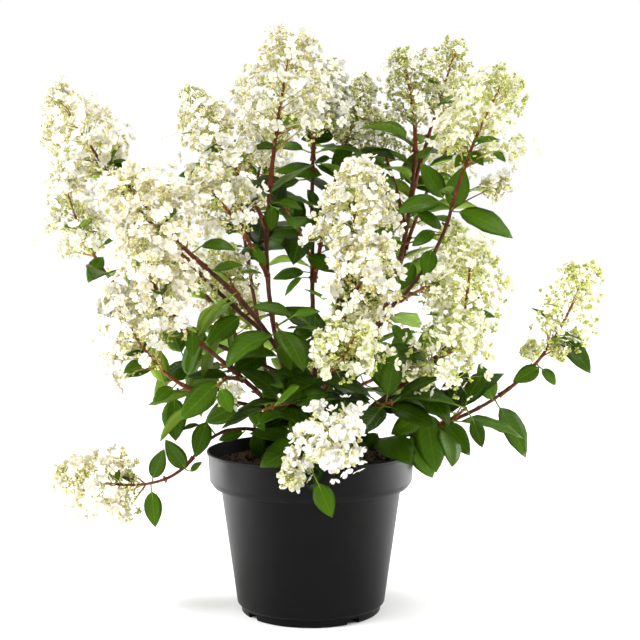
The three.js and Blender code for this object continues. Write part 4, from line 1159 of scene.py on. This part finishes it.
def turned_pot():
    """The pot drawn up ring by ring from its base."""
    clear_selection()
    profile = pot_profile()
    radius, height = profile[0]
    bpy.ops.mesh.primitive_circle_add(
        vertices=POT["facets"], radius=radius, fill_type="TRIFAN", location=(0, 0, height))
    pot = bpy.context.object
    pot.name = "pot"
    bpy.ops.object.mode_set(mode="EDIT")
    bpy.ops.mesh.select_all(action="SELECT")
    bpy.ops.mesh.select_mode(type="EDGE")
    bpy.ops.mesh.region_to_loop()
    for wider, higher in profile[1:]:
        bpy.ops.mesh.extrude_edges_move(TRANSFORM_OT_translate={"value": (0, 0, higher - height)})
        grown = wider / radius
        bpy.ops.transform.resize(value=(grown, grown, 1), center_override=(0, 0, higher))
        radius, height = wider, higher
    bpy.ops.mesh.edge_face_add()
    bpy.ops.mesh.select_all(action="SELECT")
    bpy.ops.mesh.remove_doubles(threshold=0.00001)
    bpy.ops.mesh.normals_make_consistent(inside=False)
    bpy.ops.object.mode_set(mode="OBJECT")
    return pot


def notch_tool(turn, reach):
    """A block that cuts a notch through the foot, at a turn and a reach from the middle."""
    clear_selection()
    bpy.ops.mesh.primitive_cube_add(size=1, location=(0, 0, 0))
    notch = bpy.context.object
    bpy.ops.object.mode_set(mode="EDIT")
    size = (POT["foot_width"] + 8 * MM, POT["notch_width"], POT["notch_height"] * 2)
    bpy.ops.transform.resize(value=size)
    bpy.ops.object.mode_set(mode="OBJECT")
    notch.location = (math.cos(turn) * reach, math.sin(turn) * reach, 0)
    notch.rotation_euler = (0, 0, turn)
    bpy.context.view_layer.update()
    return notch


def make_pot():
    """The pot, cut for its feet and its drains, with a pad under its middle."""
    pot = turned_pot()
    ring = POT["foot_radius"] - POT["foot_width"]
    for i in range(POT["notches"]):
        turn = math.radians(POT["notch_bearing"] - 90 + i * 360 / POT["notches"])
        cut_away(pot, notch_tool(turn, (POT["foot_radius"] + ring) / 2))
    reach = (POT["pad_radius"] + ring) / 2
    for i in range(POT["drains"]):
        turn = math.radians(POT["notch_bearing"] + i * 360 / POT["drains"])
        x, y = math.cos(turn) * reach, math.sin(turn) * reach
        cut_away(pot, shaft(x, y, -4 * MM, 8 * MM, POT["drain_radius"], POT["drain_facets"]))
    pad = shaft(0, 0, 0, POT["recess"] + 1 * MM, POT["pad_radius"], POT["pad_facets"])
    choose(pot, pad)
    bpy.ops.object.join()
    bpy.ops.object.shade_smooth_by_angle(angle=math.radians(POT["smooth_below"]))
    pot.data.materials.clear()
    pot.data.materials.append(pot_material())
    dress(pot, ("pot",))


# ---------- Soil ----------
def make_soil(chance):
    """The top of the root ball: a low, lumpy mound, with crumbs lying on it."""
    clear_selection()
    radius, low, edge = SOIL["radius"], SOIL["base_height"], SOIL["edge_height"]
    bpy.ops.mesh.primitive_circle_add(
        vertices=SOIL["facets"], radius=radius, fill_type="NGON", location=(0, 0, low))
    soil = bpy.context.object
    soil.name = "soil_and_crumbs"
    bpy.ops.object.mode_set(mode="EDIT")
    bpy.ops.mesh.select_all(action="SELECT")
    bpy.ops.mesh.extrude_region_move(TRANSFORM_OT_translate={"value": (0, 0, edge - low)})
    for _ in range(SOIL["rings"]):
        bpy.ops.mesh.inset(thickness=SOIL["ring_width"], depth=0)
    bpy.ops.mesh.select_all(action="SELECT")
    bpy.ops.mesh.normals_make_consistent(inside=False)
    bpy.ops.object.mode_set(mode="OBJECT")
    mesh = soil.data
    places = np.empty(len(mesh.vertices) * 3)
    mesh.vertices.foreach_get("co", places)
    places = places.reshape(-1, 3)
    top = places[:, 2] > edge - 1 * MM
    inwards = 1 - np.hypot(places[:, 0], places[:, 1]) / radius
    lumps = chance.normal(0, SOIL["lump"], len(places))
    waves = np.sin(places[:, 0] * 130 + 1) * np.cos(places[:, 1] * 150) * SOIL["wave"]
    crown = (SOIL["crown_height"] - edge) * np.minimum(1, inwards * 1.6)
    places[top, 2] += (crown + lumps + waves)[top] - 1 * MM
    mesh.vertices.foreach_set("co", places.ravel())
    mesh.update()
    material = soil_material()
    mesh.materials.append(material)
    bpy.ops.object.shade_smooth()
    add_crumbs(material, chance)
    dress(soil, ("root_ball",))


def add_crumbs(material, chance):
    crumbs = Pile()
    many = SOIL["crumbs"]
    reach = np.sqrt(chance.rand(many)) * SOIL["crumbs_reach"]
    bearing = chance.rand(many) * 2 * math.pi
    inwards = 1 - reach * MM / SOIL["radius"]
    height = SOIL["edge_height"] / MM + 6 * np.minimum(1, inwards * 1.6)
    spots = np.column_stack((np.cos(bearing) * reach, np.sin(bearing) * reach, height))
    size = SOIL["crumb_size"] + SOIL["crumb_more"] * chance.rand(many) ** 2
    axes = upright_axes(chance.normal(0, 1, (many, 3)), chance.rand(many) * 6) * size[:, None, None]
    axes *= (0.6 + 0.8 * chance.rand(many, 3))[..., None]
    crumbs.add_copies(BUD, axes, spots, 0, chance.rand(many))
    crumbs.piece("soil_crumbs", (material,), ("root_ball",), "soil", smooth=False)


# ---------- Trunk, stems and shoot stems ----------
def make_trunk(pile):
    """The short trunk, flared and ridged at the ground."""
    heights = np.linspace(GROUND - TRUNK["sunk"], GROUND + TRUNK["height"], TRUNK["rings"])
    centres = np.array([trunk_centre(height) for height in heights])
    centres[:, :2] *= (heights > GROUND)[:, None]
    across = np.tile((1.0, 0.0, 0.0), (len(heights), 1))
    over = np.tile((0.0, 1.0, 0.0), (len(heights), 1))
    angle = np.linspace(0, 2 * math.pi, TRUNK["sides"], endpoint=False)
    share = np.clip((heights - GROUND) / TRUNK["height"], 0, 1)[:, None]
    ridges = 0.09 * (1 - share) * np.cos(4 * angle + 0.6)
    furrows = 0.03 * np.sin(9 * angle + heights[:, None] * 0.2)
    radii = trunk_radius(heights)[:, None] * (1 + ridges + furrows)
    radii[-2:] *= ((0.97,), (0.86,))
    sweep(pile, centres, across, over, radii, TRUNK["sides"], 0.3)


def swollen(limb, t, nodes, rough, sides, chance):
    """Radii along a limb with a swelling at each node, a flare at its foot and a rough bark."""
    angle = np.linspace(0, 2 * math.pi, sides, endpoint=False)
    radii = limb.radius(t)
    for node in nodes:
        off = (t - node) * limb.length / NODES["width"]
        radii = radii * (1 + NODES["swelling"] * np.exp(-(off**2)))
    radii = radii * (1 + FOOT["flare"] * np.exp(-t * limb.length / FOOT["length"]))
    ridges = rough * np.sin(angle * 3 + chance.rand() * 6 + t[:, None] * 9)
    return radii[:, None] * (1 + ridges + chance.normal(0, rough * 0.7, (len(t), sides)))


def woody_limb(pile, limb, chance, kind, end=1.0, shade=(0.5, 0.5)):
    """A limb up to a share of its length. shade: at its foot and at its end. Gives its nodes."""
    count = max(8, int(limb.length * end / LIMB_RING))
    t = np.linspace(0, end, count)
    centres, _, across, over = limb.frames(t)
    gap = NODES["gap"] + NODES["more"] * chance.rand()
    nodes = np.arange(NODES["first"], limb.length, gap) / limb.length
    radii = swollen(limb, t, nodes, kind["rough"], kind["sides"], chance) * kind.get("slim", 1.0)
    radii[-1] *= 0.8
    wander = np.cumsum(chance.normal(0, 0.14, (count, 2)), axis=0) * np.sin(np.pi * t)[:, None] ** 0.5
    centres = centres + across * wander[:, :1] + over * wander[:, 1:]
    sweep(pile, centres, across, over, radii, kind["sides"], np.linspace(*shade, count))
    return nodes


def node_scars(pile, limb, nodes, chance):
    """A pair of leaf scars with a bud in each, at each node of a stem."""
    for k, node in enumerate(nodes):
        centre, along, across, over = limb.frame(node)
        radius = limb.radius(node)
        turn = k * math.pi / 2 + chance.rand() * 0.4
        for side in (0, math.pi):
            out = across * math.cos(turn + side) + over * math.sin(turn + side)
            line = np.stack([
                centre + out * (radius + step) + along * up
                for step, up in ((-0.3 * radius, 0), (1.4, 0.8), (1.9, 2.6))
            ])
            heading = unit(np.gradient(line, axis=0))
            flank = np.tile(np.cross(along, out), (3, 1))
            sweep(pile, line, flank, np.cross(heading, flank), (1.5, 1.3, 0.3), 6, 0.6)


def make_woody_frame(stems, chance):
    pile = Pile()
    make_trunk(pile)
    for stem in stems.values():
        nodes = woody_limb(pile, stem, chance, STEM, shade=(0.25, 0.55))
        node_scars(pile, stem, nodes, chance)
    pile.piece("trunk_and_stems", (OLD_BARK,), ("trunk", *stems), "bark")


def make_shoot_stems(shoots, sprays, chance):
    pile = Pile()
    for spray in sprays:
        woody_limb(pile, spray, chance, SPRAY, 0.95)
    for shoot in shoots:
        end = shoot.flower_start + 0.9 * (1 - shoot.flower_start)
        nodes = woody_limb(pile, shoot, chance, SHOOT, end, (0.15, 0.7))
        node_scars(pile, shoot, nodes[nodes < shoot.flower_start], chance)
    pile.piece("shoot_stems", (YOUNG_BARK,), [shoot.name for shoot in shoots], "bark")


# ---------- Foliage and flowers ----------
def bracts(shoot, chance):
    """Small leaves among a panicle's side branches."""
    return [
        dict(
            t=shoot.flower_start + (1 - shoot.flower_start) * (0.02 + 0.4 * chance.rand()),
            bearing=k * 1.9 + chance.rand(),
            length=BRACTS["length"] + BRACTS["longer"] * chance.rand(),
            rise=0.3 + 0.5 * chance.rand(), bend=0.3 + 0.5 * chance.rand(), roll=chance.rand() - 0.5,
        )
        for k in range(BRACTS["count"])
    ]


def make_foliage(stems, shoots, limbs, chance):
    leaves = [leaf_by_hand(limbs[name], *row, chance) for name, *row in LEAVES_BY_HAND]
    blades = [leaf_vertices(leaf)[0][BLADE_MIDDLE] for leaf in leaves]
    room = Room(stems.values(), shoots, np.array(blades))
    for shoot in shoots:
        if shoot.name not in HAND_LEAVED:
            leaves.extend(grow_leaves(shoot, room, chance))
        if shoot.flower_length:
            leaves.extend(place_leaf(shoot, plan, 0, 1, chance) for plan in bracts(shoot, chance))
    blades, twigs = Pile(), Pile()
    for leaf in leaves:
        add_leaf(blades, twigs, leaf)
    names = [shoot.name for shoot in shoots]
    blades.piece("leaves", (LEAF_TOP, LEAF_UNDER), names, "foliage")
    twigs.piece("leaf_stalks", (LEAF_UNDER,), names, "foliage")


def make_panicles(shoots, sprays):
    """Every third panicle goes to the same set of pieces, to keep each piece small enough."""
    for first, part in enumerate(("front", "middle", "rear")):
        piles = {"stalk": Pile(), "floret": Pile(), "bud": Pile()}
        for shoot in (*shoots[first::3], *sprays[first::3]):
            grow_panicle(shoot, piles)
        names = [shoot.name for shoot in shoots[first::3]]
        piles["floret"].piece(f"florets_{part}", PETALS, names, "panicle")
        piles["bud"].piece(f"buds_{part}", BUDS, names, "panicle")
        piles["stalk"].piece(f"flower_stalks_{part}", (STALK,), names, "panicle")


# ---------- Floor, lights and camera ----------
CAMERA = dict(place=(0.010, -1.33, 0.388), tilt=87.1, lens=68, sensor_width=36)
# Name, elevation, bearing it comes from (0 the front, 90 the right), power and spread.
SUNS = (
    ("key_from_left", 50, -52, 2.2, 24),
    ("fill_from_right", 46, 62, 1.5, 30),
    ("top_from_behind", 72, 160, 1.3, 20),
)
# Name, place, point it faces, width and height, and power.
BOXES = (
    ("box_left", (-1.75, 0.25, 0.5), (0, 0, 0.2), (1.5, 1.4), 22),
    ("box_right", (1.5, 0.95, 0.5), (0, 0, 0.2), (1.1, 1.4), 20),
    ("floor_glow_left", (-0.64, 0.1, 0.14), (-0.64, 0.1001, 0), (0.34, 0.9), 16),
    ("floor_glow_right", (0.64, 0.2, 0.14), (0.64, 0.2001, 0), (0.34, 0.8), 12),
)
WORLD_GLOW = (0.36, 1.0)  # on the shrub, and where the camera sees it


def make_floor():
    clear_selection()
    bpy.ops.mesh.primitive_plane_add(size=80, location=(0, 0, -0.0002))
    floor = bpy.context.object
    floor.name = "pale_floor"
    bpy.ops.object.transform_apply(location=True, rotation=True, scale=True)
    material, _, shader = new_material("pale_floor", 0.9, 0.0)
    shader.inputs["Base Color"].default_value = (0.85, 0.85, 0.85, 1)
    floor.data.materials.append(material)


def add_lamp(name, kind, power):
    lamp = bpy.data.lights.new(name, kind)
    lamp.energy = power
    thing = bpy.data.objects.new(name, lamp)
    bpy.context.collection.objects.link(thing)
    return lamp, thing


def make_lights():
    """A white studio: soft suns, a tall box on either side, and a low lamp over the floor on either side."""
    for name, elevation, bearing, power, spread in SUNS:
        lamp, thing = add_lamp(name, "SUN", power)
        lamp.angle = math.radians(spread)
        thing.rotation_euler = (math.radians(90 - elevation), 0, math.radians(bearing))
    for name, place, aim, size, power in BOXES:
        lamp, thing = add_lamp(name, "AREA", power)
        lamp.shape = "RECTANGLE"
        lamp.size, lamp.size_y = size
        thing.location = place
        away = np.array(aim) - place
        thing.rotation_euler = (
            math.acos(-away[2] / np.linalg.norm(away)), 0, math.atan2(away[1], away[0]) - math.pi / 2)
    world = bpy.data.worlds.new("studio")
    world.use_nodes = True
    tree = world.node_tree
    white = tree.nodes["Background"]
    white.inputs["Color"].default_value = (1, 1, 1, 1)
    ray = tree.nodes.new("ShaderNodeLightPath")
    glow = tree.nodes.new("ShaderNodeMapRange")
    glow.inputs["To Min"].default_value, glow.inputs["To Max"].default_value = WORLD_GLOW
    tree.links.new(ray.outputs["Is Camera Ray"], glow.inputs["Value"])
    tree.links.new(glow.outputs["Result"], white.inputs["Strength"])
    bpy.context.scene.world = world


def make_camera():
    eye = bpy.data.cameras.new("camera")
    eye.lens = CAMERA["lens"]
    eye.sensor_width = CAMERA["sensor_width"]
    camera = bpy.data.objects.new("camera", eye)
    camera.location = CAMERA["place"]
    camera.rotation_euler = (math.radians(CAMERA["tilt"]), 0, 0)
    bpy.context.collection.objects.link(camera)
    bpy.context.scene.camera = camera


# ---------- The whole shrub ----------
make_camera()
make_lights()
make_floor()
stems = grow_stems()
shoots = grow_shoots(stems)
flowering = [shoot for shoot in shoots if shoot.flower_length]
limbs = {**stems, **{shoot.name: shoot for shoot in shoots}}
sprays = side_sprays(limbs)
limbs.update({spray.name: spray for spray in sprays})
make_pot()
make_soil(np.random.RandomState(7))
make_woody_frame(stems, np.random.RandomState(11))
make_shoot_stems(shoots, sprays, np.random.RandomState(13))
make_foliage(stems, shoots, limbs, np.random.RandomState(17))
make_panicles(flowering, sprays)
bpy.context.scene.view_settings.view_transform = "Standard"
